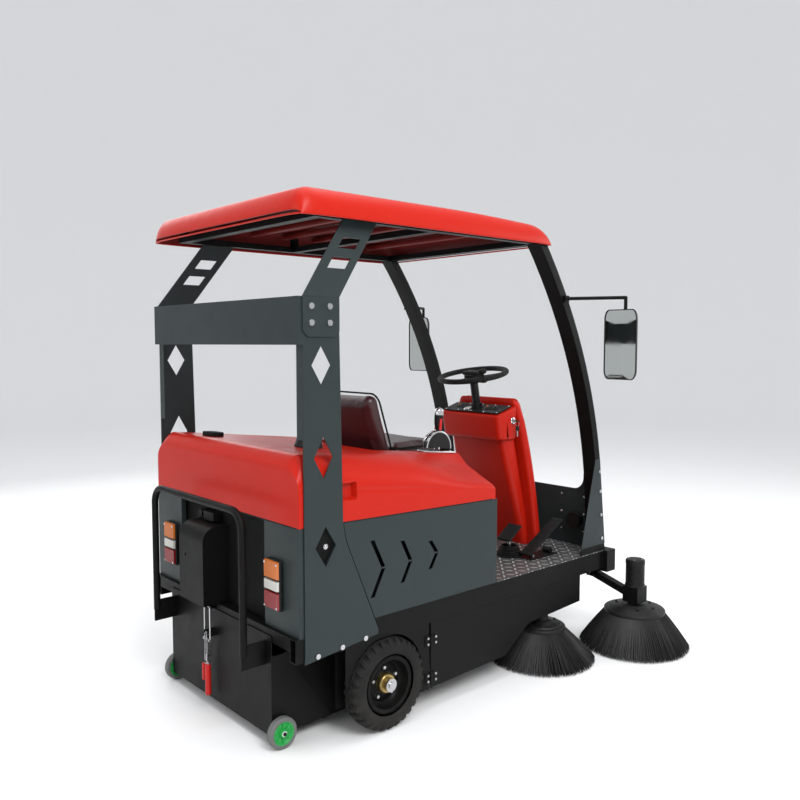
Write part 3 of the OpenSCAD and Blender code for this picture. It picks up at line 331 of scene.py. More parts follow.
def make_surface_group():
    """Colour: the base, drifted by a slow noise, whitened by scratches and covered by dust.
    Roughness: the base plus drift plus dust. Height: fine grain plus a slow wave."""
    tree, source, result = new_group(
        "worn surface",
        [("Color", "NodeSocketColor", (0.5, 0.5, 0.5, 1)), ("Drift", "NodeSocketFloat", 0.2),
         ("Roughness", "NodeSocketFloat", 0.4), ("Grain", "NodeSocketFloat", 0.5),
         ("Dust", "NodeSocketFloat", 0.3), ("Wear", "NodeSocketFloat", 0.2),
         ("Dust Color", "NodeSocketColor", (0.21, 0.19, 0.165, 1))],
        [("Color", "NodeSocketColor"), ("Roughness", "NodeSocketFloat"),
         ("Height", "NodeSocketFloat")])
    link = tree.links.new
    place = node(tree, "TexCoord").outputs["Object"]
    slow, middle = noise(tree, place, 3.1, 3.0), noise(tree, place, 17.0, 5.0)
    fine = noise(tree, place, 900.0, 2.0)
    swing = math_node(tree, "SUBTRACT", math_node(tree, "ADD", slow, middle), 1.0)
    swing = math_node(tree, "MULTIPLY", swing, source.outputs["Drift"])
    value = math_node(tree, "ADD", swing, 1.0)
    tint = node(tree, "HueSaturation")
    link(source.outputs["Color"], tint.inputs["Color"])
    link(value, tint.inputs["Value"])
    # scratches: stretched noise, thresholded high, so only thin streaks are left
    stretch = node(tree, "Mapping")
    stretch.inputs["Scale"].default_value = (9, 60, 22)
    stretch.inputs["Rotation"].default_value = (0.5, 0.3, 0.7)
    link(place, stretch.inputs["Vector"])
    streak = between(tree, noise(tree, stretch.outputs[0], 2.2, 6.0, 0.62), 0.66, 0.72)
    streak = math_node(tree, "MULTIPLY", streak, between(tree, middle, 0.46, 0.62))
    streak = math_node(tree, "MULTIPLY", streak, source.outputs["Wear"], clamp=True)
    rubbed = blend_colours(tree, streak, tint.outputs["Color"], (0.32, 0.32, 0.31, 1))
    # dust lies on faces that look up and on everything near the floor
    parts = node(tree, "SeparateXYZ")
    link(node(tree, "NewGeometry").outputs["Normal"], parts.inputs[0])
    up = between(tree, parts.outputs["Z"], 0.35, 0.95)
    heights = node(tree, "SeparateXYZ")
    link(place, heights.inputs[0])
    low = between(tree, heights.outputs["Z"], 0.42, 0.0)
    mask = math_node(tree, "MAXIMUM", math_node(tree, "MULTIPLY", up, 0.45), low)
    mask = math_node(tree, "MULTIPLY", mask, between(tree, middle, 0.25, 0.72))
    mask = math_node(tree, "MULTIPLY", mask, source.outputs["Dust"], clamp=True)
    link(blend_colours(tree, mask, rubbed, source.outputs["Dust Color"]), result.inputs["Color"])
    rough = math_node(tree, "ADD", source.outputs["Roughness"],
                      math_node(tree, "MULTIPLY", math_node(tree, "SUBTRACT", middle, 0.5), 0.25))
    rough = math_node(tree, "ADD", rough, math_node(tree, "MULTIPLY", mask, 0.5), clamp=True)
    link(rough, result.inputs["Roughness"])
    grain = math_node(tree, "MULTIPLY", fine, source.outputs["Grain"])
    link(math_node(tree, "ADD", grain, math_node(tree, "MULTIPLY", slow, 1.2)),
         result.inputs["Height"])
    return tree


worn_surface = make_surface_group()


def finish(name, colour, roughness=0.4, metallic=0.0, drift=0.2, grain=0.5, dust=0.3, wear=0.2,
           bump=0.05, bump_step=0.0006, coat=0.0, edge=0.002, **shader_values):
    """A Principled material fed by the worn-surface group; extra keywords are set on the
    shader's own sockets. edge rounds the corners of sheet metal in the shading only."""
    material = bpy.data.materials.new(name)
    material.use_nodes = True
    tree = material.node_tree
    shader = tree.nodes["Principled BSDF"]
    group = tree.nodes.new("ShaderNodeGroup")
    group.node_tree = worn_surface
    for label, value in (("Color", (*colour, 1)), ("Drift", drift), ("Roughness", roughness),
                         ("Grain", grain), ("Dust", dust), ("Wear", wear)):
        group.inputs[label].default_value = value
    relief = node(tree, "Bump", Strength=bump, Distance=bump_step)
    tree.links.new(group.outputs["Height"], relief.inputs["Height"])
    if edge:
        corner = node(tree, "Bevel", samples=4, Radius=edge)
        tree.links.new(corner.outputs[0], relief.inputs["Normal"])
    tree.links.new(relief.outputs[0], shader.inputs["Normal"])
    tree.links.new(group.outputs["Color"], shader.inputs["Base Color"])
    tree.links.new(group.outputs["Roughness"], shader.inputs["Roughness"])
    shader.inputs["Metallic"].default_value = metallic
    shader.inputs["Coat Weight"].default_value = coat
    for label, value in shader_values.items():
        shader.inputs[label.replace("_", " ")].default_value = value
    return material


# %% [markdown]
# ## The finishes
# Slate panels are satin paint over steel. The red covers are glossy moulded plastic with a
# thin clear gloss. The frame is black powder coat. Tyres, bristles, zinc, chequer plate, the
# lenses and the mirror each get their own.

# %% Paints, plastics, rubber and metals
slate_paint = finish("slate paint", (0.020, 0.0285, 0.029), 0.44, drift=0.10, grain=0.25,
                     dust=0.03, wear=0.05, Specular_IOR_Level=0.26)
red_plastic = finish("red plastic", (0.46, 0.012, 0.004), 0.36, drift=0.05, grain=0.3,
                     dust=0.0, wear=0.0, edge=0, bump=0.03, Specular_IOR_Level=0.16,
                     coat=0.03, Coat_Roughness=0.12)
# the same red plastic, darkened for the roof's underside and ribs: painted shade
red_plastic_painted_shade = finish("red plastic inside", (0.13, 0.008, 0.006), 0.6, drift=0.15, dust=0.05,
                    wear=0.0, edge=0, Specular_IOR_Level=0.2)
frame_black = finish("black powder coat", (0.004, 0.004, 0.004), 0.46, drift=0.3, grain=1.0,
                     dust=0.012, wear=0.04, bump=0.12, Specular_IOR_Level=0.12)
black_plastic = finish("black plastic", (0.007, 0.007, 0.0072), 0.48, drift=0.25, grain=1.2,
                       dust=0.04, wear=0.03, bump=0.15, edge=0.0012, Specular_IOR_Level=0.25)
soft_black = finish("soft black rubber", (0.006, 0.006, 0.006), 0.66, drift=0.3, grain=1.2,
                    dust=0.05, wear=0.0, bump=0.2, edge=0, Specular_IOR_Level=0.2)
tyre_rubber = finish("tyre rubber", (0.008, 0.008, 0.008), 0.74, drift=0.3, grain=1.5,
                     dust=0.12, wear=0.0, bump=0.25, bump_step=0.001, edge=0,
                     Specular_IOR_Level=0.2)
zinc = finish("zinc plate", (0.52, 0.52, 0.53), 0.28, metallic=1.0, drift=0.15, dust=0.05,
              wear=0.05, edge=0.001)
gold_zinc = finish("yellow zinc", (0.42, 0.31, 0.12), 0.34, metallic=1.0, drift=0.3, dust=0.1,
                   wear=0.1, edge=0.001)
chrome = finish("chrome", (0.72, 0.72, 0.73), 0.10, metallic=1.0, drift=0.04, dust=0.02,
                wear=0.0, edge=0.001)
amber_lens = finish("amber lens", (0.52, 0.13, 0.010), 0.2, drift=0.1, dust=0.03, wear=0.0,
                    coat=0.3, edge=0)
red_lens = finish("red lens", (0.22, 0.004, 0.006), 0.2, drift=0.1, dust=0.03, wear=0.0,
                  coat=0.3, edge=0)
clear_lens = finish("clear lens", (0.55, 0.54, 0.50), 0.12, drift=0.1, dust=0.03, wear=0.0,
                    coat=0.3, edge=0)
castor_green = finish("green castor", (0.012, 0.33, 0.06), 0.4, drift=0.15, dust=0.08, wear=0.0,
                      edge=0, Specular_IOR_Level=0.3)
castor_grey = finish("grey castor tyre", (0.13, 0.135, 0.13), 0.6, drift=0.2, dust=0.1,
                     wear=0.0, edge=0, Specular_IOR_Level=0.3)
white_plastic = finish("white plastic", (0.6, 0.6, 0.58), 0.4, drift=0.1, dust=0.05, edge=0)
grip_red = finish("red grip", (0.50, 0.010, 0.008), 0.35, drift=0.1, dust=0.03, edge=0,
                  Specular_IOR_Level=0.3)
mirror_glass = finish("mirror glass", (0.55, 0.58, 0.56), 0.03, metallic=1.0, drift=0.02,
                      grain=0.0, dust=0.02, wear=0.0, bump=0.0, edge=0)
# black for the inner walls; the same material paints the shade in the leg openings and the shadow lines
# beside the legs
black_wall_and_painted_shade = finish("black inner wall", (0.004, 0.004, 0.004), 0.7, drift=0.2, dust=0.03,
                    wear=0.0, Specular_IOR_Level=0.12)
battery_grey = finish("battery case", (0.03, 0.03, 0.033), 0.5, drift=0.2, dust=0.1,
                      Specular_IOR_Level=0.2)
print("materials:", len(bpy.data.materials))

# %% [markdown]
# ## Steel that keeps its CAD shape
# The rails, panels, legs and tubes are exact in CAD, so their meshes stay. Only their
# materials change: the slate, black and bare-metal finishes above.

# %% Finishes on the CAD pieces
KEPT = {
    slate_paint: ["body_panels", "rear_legs", "roof_struts", "crossbeam", "front_panel"],
    frame_black: ["chassis_frame", "roof_frame", "front_pillars", "front_fork",
                  "hopper", "hopper_handle", "fender_skirts", "skirt_door_right",
                  "skirt_door_left", "brush_drives", "mirror_arms", "fan_box",
                  "brush_arm_right", "brush_arm_left"],
    black_wall_and_painted_shade: ["bulkheads"],
    black_plastic: ["steering_column", "horn", "dash_plate", "pedal_base"],
    battery_grey: ["battery_pack"],
    zinc: ["frame_bolts", "ignition_key", "latch_hook"],
}
for material, nodes in KEPT.items():
    for name in nodes:
        mesh = frame["nodes"][name].data
        mesh.materials.clear()
        mesh.materials.append(material)
print("finished CAD pieces:", sum(len(nodes) for nodes in KEPT.values()))

# %% [markdown]
# ### Chequer plate
# The driver's floor is aluminium pressed with short raised bars that alternate in direction.
# The bars are a pattern in the material: each cell of a grid holds one bar, turned one way in
# every other cell, and the bump lifts it.

# %% Chequer plate material
def make_chequer_group():
    """Mask: 1 on the raised bars. Cells of 42 mm; in each, distance from a slanted line is
    compared with the bar's half width, and the distance along it with its half length."""
    tree, source, result = new_group("chequer bars", [("Cell", "NodeSocketFloat", 0.042)],
                                     [("Mask", "NodeSocketFloat")])
    link = tree.links.new
    parts = node(tree, "SeparateXYZ")
    link(node(tree, "TexCoord").outputs["Object"], parts.inputs[0])
    across = math_node(tree, "DIVIDE", parts.outputs["X"], source.outputs["Cell"])
    along = math_node(tree, "DIVIDE", parts.outputs["Y"], source.outputs["Cell"])
    odd = math_node(tree, "ADD", math_node(tree, "FLOOR", across), math_node(tree, "FLOOR", along))
    odd = math_node(tree, "FLOORED_MODULO", odd, 2.0)
    sign = math_node(tree, "SUBTRACT", math_node(tree, "MULTIPLY", odd, 2.0), 1.0)
    p = math_node(tree, "SUBTRACT", math_node(tree, "FRACT", across), 0.5)
    q = math_node(tree, "SUBTRACT", math_node(tree, "FRACT", along), 0.5)
    q = math_node(tree, "MULTIPLY", q, sign)
    length = math_node(tree, "ABSOLUTE", math_node(tree, "ADD", p, q))
    width = math_node(tree, "ABSOLUTE", math_node(tree, "SUBTRACT", p, q))
    half_length, half_width = 0.62, 0.17
    long_part = math_node(tree, "POWER", math_node(tree, "DIVIDE", length, half_length), 2.0)
    wide_part = math_node(tree, "POWER", math_node(tree, "DIVIDE", width, half_width), 2.0)
    round_bar = math_node(tree, "ADD", long_part, wide_part)
    link(between(tree, round_bar, 1.25, 0.75), result.inputs["Mask"])
    return tree


def chequer_finish():
    material = finish("chequer aluminium", (0.085, 0.087, 0.088), 0.42, metallic=0.35, drift=0.3,
                      dust=0.06, wear=0.0, edge=0.001)
    tree = material.node_tree
    shader = tree.nodes["Principled BSDF"]
    bars = tree.nodes.new("ShaderNodeGroup")
    bars.node_tree = make_chequer_group()
    old = shader.inputs["Base Color"].links[0].from_socket
    lighter = blend_colours(tree, bars.outputs["Mask"], old, (0.42, 0.43, 0.43, 1))
    tree.links.new(lighter, shader.inputs["Base Color"])
    relief = node(tree, "Bump", Strength=0.9, Distance=0.0016)
    tree.links.new(bars.outputs["Mask"], relief.inputs["Height"])
    tree.links.new(shader.inputs["Normal"].links[0].from_socket, relief.inputs["Normal"])
    tree.links.new(relief.outputs[0], shader.inputs["Normal"])
    return material


chequer = chequer_finish()
floor_mesh = frame["nodes"]["floor_plate"].data
floor_mesh.materials.clear()
floor_mesh.materials.append(chequer)

# %% [markdown]
# ## Rear wheels
# Small block-tread tyres on pressed steel rims. The carcass is a turned profile, and the
# tread is a wave added to its radius: blocks where two waves, one round the tyre and one
# across it, are both high. The two shoulders are out of step with each other.

# %% Rear wheels
def tread_wave(turn, across, count):
    """1 on a tread block, 0 in a groove: a steep wave round the tyre, shifted by half a block
    on the other shoulder, with two grooves left free along the middle."""
    shift = np.where(across > 0, 0.5, 0.0)
    wave = np.sin((turn / (2 * np.pi) * count + shift + 0.35 * np.abs(across)) * 2 * np.pi)
    round_block = np.clip(wave * 3.2 + 0.9, 0, 1)
    grooves = np.clip((np.abs(np.abs(across) - 0.30) - 0.045) * 30, 0, 1)
    return round_block * grooves


def tyre(centre, radius, width, rim_radius, count=30, depth=0.008):
    """Radius over (turn, across): a rounded-square section plus the tread wave's depth; the
    section walks from one bead over the tread to the other."""
    turn = np.linspace(0, 2 * np.pi, count * 12, endpoint=False)
    walk = np.linspace(-1, 1, 57)
    bead, half = rim_radius + 0.004, width / 2
    # section: bulging side walls up to the shoulders, then a gently crowned tread
    power = 3.0
    angle = walk * (np.pi / 2 + 0.62)
    across = np.sign(np.sin(angle)) * np.abs(np.sin(angle)) ** (2 / power)
    up = np.sign(np.cos(angle)) * np.abs(np.cos(angle)) ** (2 / power)
    middle = bead + (radius - depth - bead) * 0.42
    height = np.where(up > 0, (radius - depth - middle) * up, (middle - bead) * up)
    r = (middle + height)[:, None] + 0 * turn
    s = half * across * (1 - 0.10 * np.clip(-up, 0, 1))
    shown = np.clip((up - 0.30) * 2.6, 0, 1)[:, None]
    r = r + depth * tread_wave(turn[None], across[:, None], count) * shown
    r = np.minimum(r, radius)
    s = s[:, None] + 0 * turn
    grid = np.stack([s, r * np.cos(turn), r * np.sin(turn)], -1) + centre
    return quads(grid, close_v=True)


def rear_wheel(side_name, side):
    """Tyre, dished rim, five wheel nuts, hub cap and valve, all turned about the axle."""
    low, high, centre = box_of("rear_wheel_" + side_name)
    radius, width = (high[2] - low[2]) / 2, high[0] - low[0]
    rim = radius * 0.60
    parts = [(*tyre(np.zeros(3), radius, width, rim), 0)]
    lip = width / 2 - 0.012
    dish = [(rim + 0.006, -lip), (rim + 0.004, lip), (rim - 0.004, lip + 0.003),
            (rim - 0.012, lip - 0.002), (rim - 0.018, lip - 0.030), (rim - 0.030, lip - 0.044),
            (0.062, lip - 0.046), (0.056, lip - 0.040), (0.050, lip - 0.034), (0.0, lip - 0.034)]
    parts.append((*turned(dish, (0, 0, 0), count=72), 1))
    back = [(rim + 0.006, -lip), (rim - 0.02, -lip + 0.02), (0.05, -lip + 0.03), (0, -lip + 0.03)]
    parts.append((*turned(back, (0, 0, 0), count=48), 1))
    hub = [(0.040, lip - 0.036), (0.040, lip - 0.018), (0.034, lip - 0.012), (0.026, lip - 0.012),
           (0.024, lip - 0.004), (0.013, lip), (0.0, lip)]
    parts.append((*turned(hub, (0, 0, 0), count=36), 2))
    for k in range(5):
        t = 2 * np.pi * k / 5 + 0.3
        spot = np.array([lip - 0.046, 0.058 * np.cos(t) * 1.02, 0.058 * np.sin(t) * 1.02])
        parts.append((*bolt(spot, 0.0105, 0.016, domed=False), 3))
        # a black disc on the dish for each rim hole: painted shade of the opening
        hole = np.array([lip - 0.0455, 0.082 * np.cos(t + 0.63), 0.082 * np.sin(t + 0.63)])
        parts.append((*turned([(0.011, 0), (0.008, 0.0015), (0, 0.0012)], hole, count=16), 4))
    valve = tube(np.array([[lip - 0.044, 0.0, 0.086], [lip - 0.02, 0.0, 0.094]]), 0.003, (0, 1, 0))
    parts.append((*valve, 4))
    parts = [(*mirrored((points, faces), side), number) for points, faces, number in parts]
    parts = [(points + centre, faces, number) for points, faces, number in parts]
    return piece("rear_wheel_look_" + side_name, parts, "wheel_" + side_name,
                 [tyre_rubber, frame_black, gold_zinc, zinc, soft_black],
                 replaces=["rear_wheel_" + side_name], smooth_angle=45)


for side_name, side in SIDES:
    rear_wheel(side_name, side)

# %% [markdown]
# ## Brush tufts
# A side brush is a plastic disc with rings of nylon tufts that fan out to the floor. One tuft
# is a thin four-sided spike along a curved line; all tufts are computed together as one array
# of lines, each with its own small error in angle, length and lean.

# %% Tufts
def tufts(roots, tips, sag, thick, rows=4):
    """Spikes from roots to tips: each line is root + (tip - root) * t with a bow of height
    sag * t * (1 - t) outwards, and a square section that narrows from thick to a third."""
    count = len(roots)
    t = np.linspace(0, 1, rows)[None, :, None]
    line = roots[:, None] * (1 - t) + tips[:, None] * t + sag[:, None] * (4 * t * (1 - t))
    ahead = unit(tips - roots)
    side = unit(np.cross(ahead, np.array([0.31, 0.17, 0.94])))
    up = np.cross(ahead, side)
    corner = np.array([[1, 0], [0, 1], [-1, 0], [0, -1]], float)
    width = (thick * (1 - 0.62 * t[0]))[None]
    ring = corner[:, :1] * side[:, None, None] + corner[:, 1:] * up[:, None, None]
    grid = line[:, :, None] + ring * width[..., None]
    index = np.arange(count * rows * 4).reshape(count, rows, 4)
    index = np.concatenate([index, index[..., :1]], -1)
    a, b, c, d = index[:, :-1, :-1], index[:, 1:, :-1], index[:, 1:, 1:], index[:, :-1, 1:]
    return grid.reshape(-1, 3), np.stack([a, b, c, d], -1).reshape(-1, 4)


def bristle_finish():
    """Dull nylon: near black, with a soft gloss that streaks along the tufts."""
    return finish("bristle nylon", (0.006, 0.006, 0.0065), 0.5, drift=0.6, grain=1.0, dust=0.05,
                  wear=0.0, edge=0, Specular_IOR_Level=0.3)


bristle = bristle_finish()


def side_brush(node_name, body, disc_r, drop, rings, count):
    """Disc with a stepped rim, bolts and a hub, and rings of tufts fanned to the floor."""
    low, high, centre = box_of(node_name)
    reach, floor = (high[0] - low[0]) / 2, low[2]
    disc_z = high[2] - drop
    axis = np.array([centre[0], centre[1], 0])
    parts = []
    profile = [(0, disc_z - 0.020), (disc_r - 0.004, disc_z - 0.020), (disc_r, disc_z - 0.015),
               (disc_r, disc_z - 0.004), (disc_r - 0.004, disc_z), (disc_r * 0.84, disc_z + 0.002),
               (disc_r * 0.80, disc_z + 0.010), (disc_r * 0.48, disc_z + 0.014),
               (disc_r * 0.44, disc_z + 0.020), (0.031, disc_z + 0.022), (0.030, high[2]), (0, high[2])]
    parts.append((*turned(profile, axis, "z", 72), 0))
    for k in range(6):
        t = np.pi * k / 3 + 0.2
        spot = axis + [disc_r * 0.64 * np.cos(t), disc_r * 0.64 * np.sin(t), disc_z + 0.011]
        parts.append((*bolt(spot, 0.008, 0.008, "z", domed=False), 1))
    for k, (start, end) in enumerate(rings):
        # tuft roots in a ring under the disc, tips on the floor circle
        t = np.linspace(0, 2 * np.pi, count, endpoint=False) + k * np.pi / count
        t_end = t + rng.normal(0, 0.010, count)
        root_r, tip_r = disc_r * start, reach * end * (1 + rng.normal(0, 0.010, count))
        tip_r = np.minimum(tip_r, reach * 0.999)
        roots = axis + np.stack([root_r * np.cos(t), root_r * np.sin(t), 0 * t + disc_z - 0.016], -1)
        tips = axis + np.stack([tip_r * np.cos(t_end), tip_r * np.sin(t_end),
                                floor + rng.uniform(0, 0.010, count)], -1)
        bow = np.stack([np.cos(t), np.sin(t), 0 * t + 0.9], -1) * 0.002
        parts.append((*tufts(roots, tips, bow, 0.0036), 2))
    parts.append((*turned([(disc_r * 0.98, disc_z - 0.014), (reach * 0.80, floor + 0.035),
                           (reach * 0.70, floor + 0.02), (disc_r * 0.7, disc_z - 0.03)],
                          axis, "z", 96), 2))
    return piece(node_name + "_look", parts, body, [black_plastic, black_plastic, bristle],
                 replaces=[node_name], smooth_angle=50, flip=True)


RINGS = [(0.97, 0.995), (0.94, 0.965), (0.90, 0.93), (0.85, 0.90)]
for side_name, _ in SIDES:
    side_brush("side_brush_front_" + side_name, "brush_front_" + side_name, 0.147, 0.033, RINGS, 300)
    side_brush("side_brush_mid_" + side_name, "brush_mid_" + side_name, 0.112, 0.062, RINGS, 280)

# %% [markdown]
# ## Front wheel and roller brush
# The steered wheel is a smaller tyre on a flat disc. The roller brush is a tube with V-shaped
# rows of bristles, which throw the dirt backwards into the hopper: each row is a helix that
# winds one way on the left half and the other way on the right.

# %% Front wheel
def front_wheel():
    low, high, centre = box_of("front_wheel")
    radius, width = (high[2] - low[2]) / 2, 0.080
    rim = radius * 0.58
    parts = [(*tyre(centre, radius, width, rim, 28), 0)]
    lip = width / 2 - 0.010
    disc = [(0, -lip + 0.012), (0.040, -lip + 0.012), (0.050, -lip + 0.020),
            (rim - 0.012, -lip + 0.020), (rim - 0.004, -lip), (rim + 0.006, -lip),
            (rim + 0.006, lip), (rim - 0.004, lip), (rim - 0.012, lip - 0.020),
            (0.050, lip - 0.020), (0.040, lip - 0.012), (0, lip - 0.012)]
    parts.append((*turned(disc, centre, count=60), 1))
    for side in (-1, 1):
        for t in np.arange(5) * 2 * np.pi / 5:
            spot = centre + [side * (lip - 0.020), 0.066 * np.cos(t), 0.066 * np.sin(t)]
            parts.append((*bolt(spot, 0.009, 0.012, sign=side, domed=False), 2))
    piece("front_wheel_look", parts, "steered_wheel", [tyre_rubber, frame_black, zinc],
          replaces=["front_wheel"], smooth_angle=45)


front_wheel()

# %% Roller brush
def roller_brush():
    """Row k, at x: angle = 2 pi k / rows + 1.1 |x| / half, root on the tube, tip at reach."""
    low, high, centre = box_of("main_brush")
    half, reach, tube_r, rows = 0.400, (high[2] - low[2]) / 2 - 0.001, 0.098, 14
    x = np.linspace(-half, half, 96)
    k, x = np.meshgrid(np.arange(rows), x, indexing="ij")
    k, x = k.ravel(), x.ravel() + rng.normal(0, 0.0015, k.size)
    x = np.clip(x, -half, half)
    angle = 2 * np.pi * k / rows + 1.1 * np.abs(x) / half
    tip_angle = angle + rng.normal(0, 0.03, k.size)
    ring = lambda a, r: centre + np.stack([x, r * np.cos(a), r * np.sin(a)], -1)
    bow = np.zeros((k.size, 3))
    ends = high[0] - centre[0]
    tube_part = [(0, -ends), (0.014, -ends), (0.014, -half - 0.008), (tube_r, -half - 0.008),
                 (tube_r, half + 0.008), (0.014, half + 0.008), (0.014, ends), (0, ends)]
    parts = [(*turned(tube_part, centre, count=48), 0),
             (*tufts(ring(angle, tube_r - 0.004), ring(tip_angle, reach), bow, 0.0034), 1)]
    piece("roller_look", parts, "roller", [black_plastic, bristle], replaces=["main_brush"])


roller_brush()

# %% [markdown]
# ## The roof
# The roof is one vacuum-formed shell. Its height over the edge is the product of two curves:
# one across, a flat top with quarter-round shoulders, and one along, that falls gently to a
# long rounded nose. The corners are drawn in a little, and Solidify gives it a wall.

# %% Roof shell
def shoulder(distance, radius):
    """Height share at a distance in from an edge: a quarter circle, then level."""
    d = np.clip(distance / radius, 0, 1)
    return np.sqrt(np.clip(1 - (1 - d) ** 2, 0, 1))


def eased(start, end, count):
    """Numbers from start to end, crowded at both ends by a cosine."""
    return start + (end - start) * (1 - np.cos(np.linspace(0, np.pi, count))) / 2


def roof():
    low, high, centre = box_of("roof_canopy")
    half, depth = high[0] - 0.001, high[2] - low[2]
    nose, rear_r, side_r, wall = 0.135, 0.070, 0.062, 0.005
    x = eased(-half, half, 121)
    y = np.concatenate([eased(low[1] + 0.001, low[1] + 0.30, 44)[:-1],
                        eased(low[1] + 0.30, high[1] - 0.001, 70)])
    across = shoulder(half - np.abs(x), side_r)
    front, rear = y - low[1], high[1] - y
    level = 1 - 0.20 * np.clip((0.62 - front) / 0.62, 0, 1) ** 1.6
    along = shoulder(front, nose) * shoulder(rear, rear_r) * level
    crown = 1 - 0.02 * (x / half) ** 2
    # a wide, very shallow channel pressed along both sides stiffens the top
    gx, gy = np.meshgrid(x, y, indexing="ij")
    channel = 0.03 * np.exp(-((np.abs(gx) - half * 0.60) / 0.022) ** 2)
    channel = channel * np.clip(np.minimum(gy - low[1] - 0.25, high[1] - 0.12 - gy) * 12, 0, 1)
    z = low[2] + (depth - 0.001) * (crown * across)[:, None] * along[None] - 0.08 * channel
    near_x, near_y = (gx / half) ** 10, ((gy - centre[1]) / (high[1] - centre[1])) ** 10
    draw = 1 - 0.030 * near_x * near_y
    grid = np.stack([gx * draw, centre[1] + (gy - centre[1]) * draw, z], -1)
    shell = piece("roof_shell", [(*quads(grid), 0)], "machine", [red_plastic, red_plastic_painted_shade],
                  replaces=["roof_canopy"], smooth_angle=60)
    if shell.data.polygons[len(shell.data.polygons) // 2].normal.z < 0:
        shell.data.flip_normals()
    solid = shell.modifiers.new("wall", "SOLIDIFY")
    # the inner face takes the second material, the darker red: painted shade under the roof
    solid.thickness, solid.offset, solid.material_offset = wall, -1, 1
    solid.material_offset_rim = 0
    # a rolled rim along the lower edge
    outline = np.concatenate([grid[:, 0], grid[-1, 1:], grid[-2::-1, -1], grid[0, -2:0:-1]])
    outline[:, 2] = low[2] + 0.0035
    inward = 1 - 0.006
    outline[:, 0] *= inward
    outline[:, 1] = centre[1] + (outline[:, 1] - centre[1]) * inward
    rim = carried(circle(0.0034, 8), outline, close_path=True)
    # ribs moulded across the underside, in the darker red that paints the underside's shade
    parts = [(*rim, 0)]
    for spot in np.linspace(low[1] + 0.20, high[1] - 0.14, 7):
        share = np.interp(spot, y, along)
        top = low[2] + depth * share * 0.93 - wall
        rib = block((-half + 0.055, spot - 0.016, top - 0.026), (half - 0.055, spot + 0.016, top),
                    0.008)
        parts.append((*rib, 1))
    piece("roof_ribs", parts, "machine", [red_plastic, red_plastic_painted_shade], smooth_angle=50)
    return shell


roof()

# %% [markdown]
# ## The rear cover
# The cover over the machinery carries the seat. It is lofted: every cross-section runs from
# the seam up the side wall, round a soft shoulder and over the top to the middle. Two more
# effects are blended in by smooth steps: the well that the seat stands in, and the shallow
# hand grip pressed into each side.

# %% Rear cover
def smooth_step(value, low, high):
    """0 below low, 1 above high, an S-shaped ramp between."""
    t = np.clip((value - low) / (high - low), 0, 1)
    return t * t * (3 - 2 * t)


COVER_HIGH = box_of("rear_cover")[1]
SEAT_LOW, SEAT_HIGH, _ = box_of("seat_cushion")
WELL_Z = SEAT_LOW[2]
cover_front_y, cover_rear_y = axle_y - 0.625, COVER_HIGH[1]


def cover_top(y):
    """Height of the cover's ridge along the machine: a straight fall towards the front, then
    a small round edge above the upright front face, and a roll at the rear edge."""
    fall = 1.104 - 0.098 * (axle_y + 0.365 - y) / 0.945
    front = 0.012 * np.clip((axle_y - 0.613 - y) / 0.012, 0, 1) ** 2
    rear = 0.052 * np.clip((y - (cover_rear_y - 0.060)) / 0.060, 0, 1) ** 2.4
    return fall - front - rear


def seam_height(y):
    """The panels' top edge, on which the cover rests."""
    return 0.8483 - 0.025 * (axle_y + 0.420 - y) / 1.056


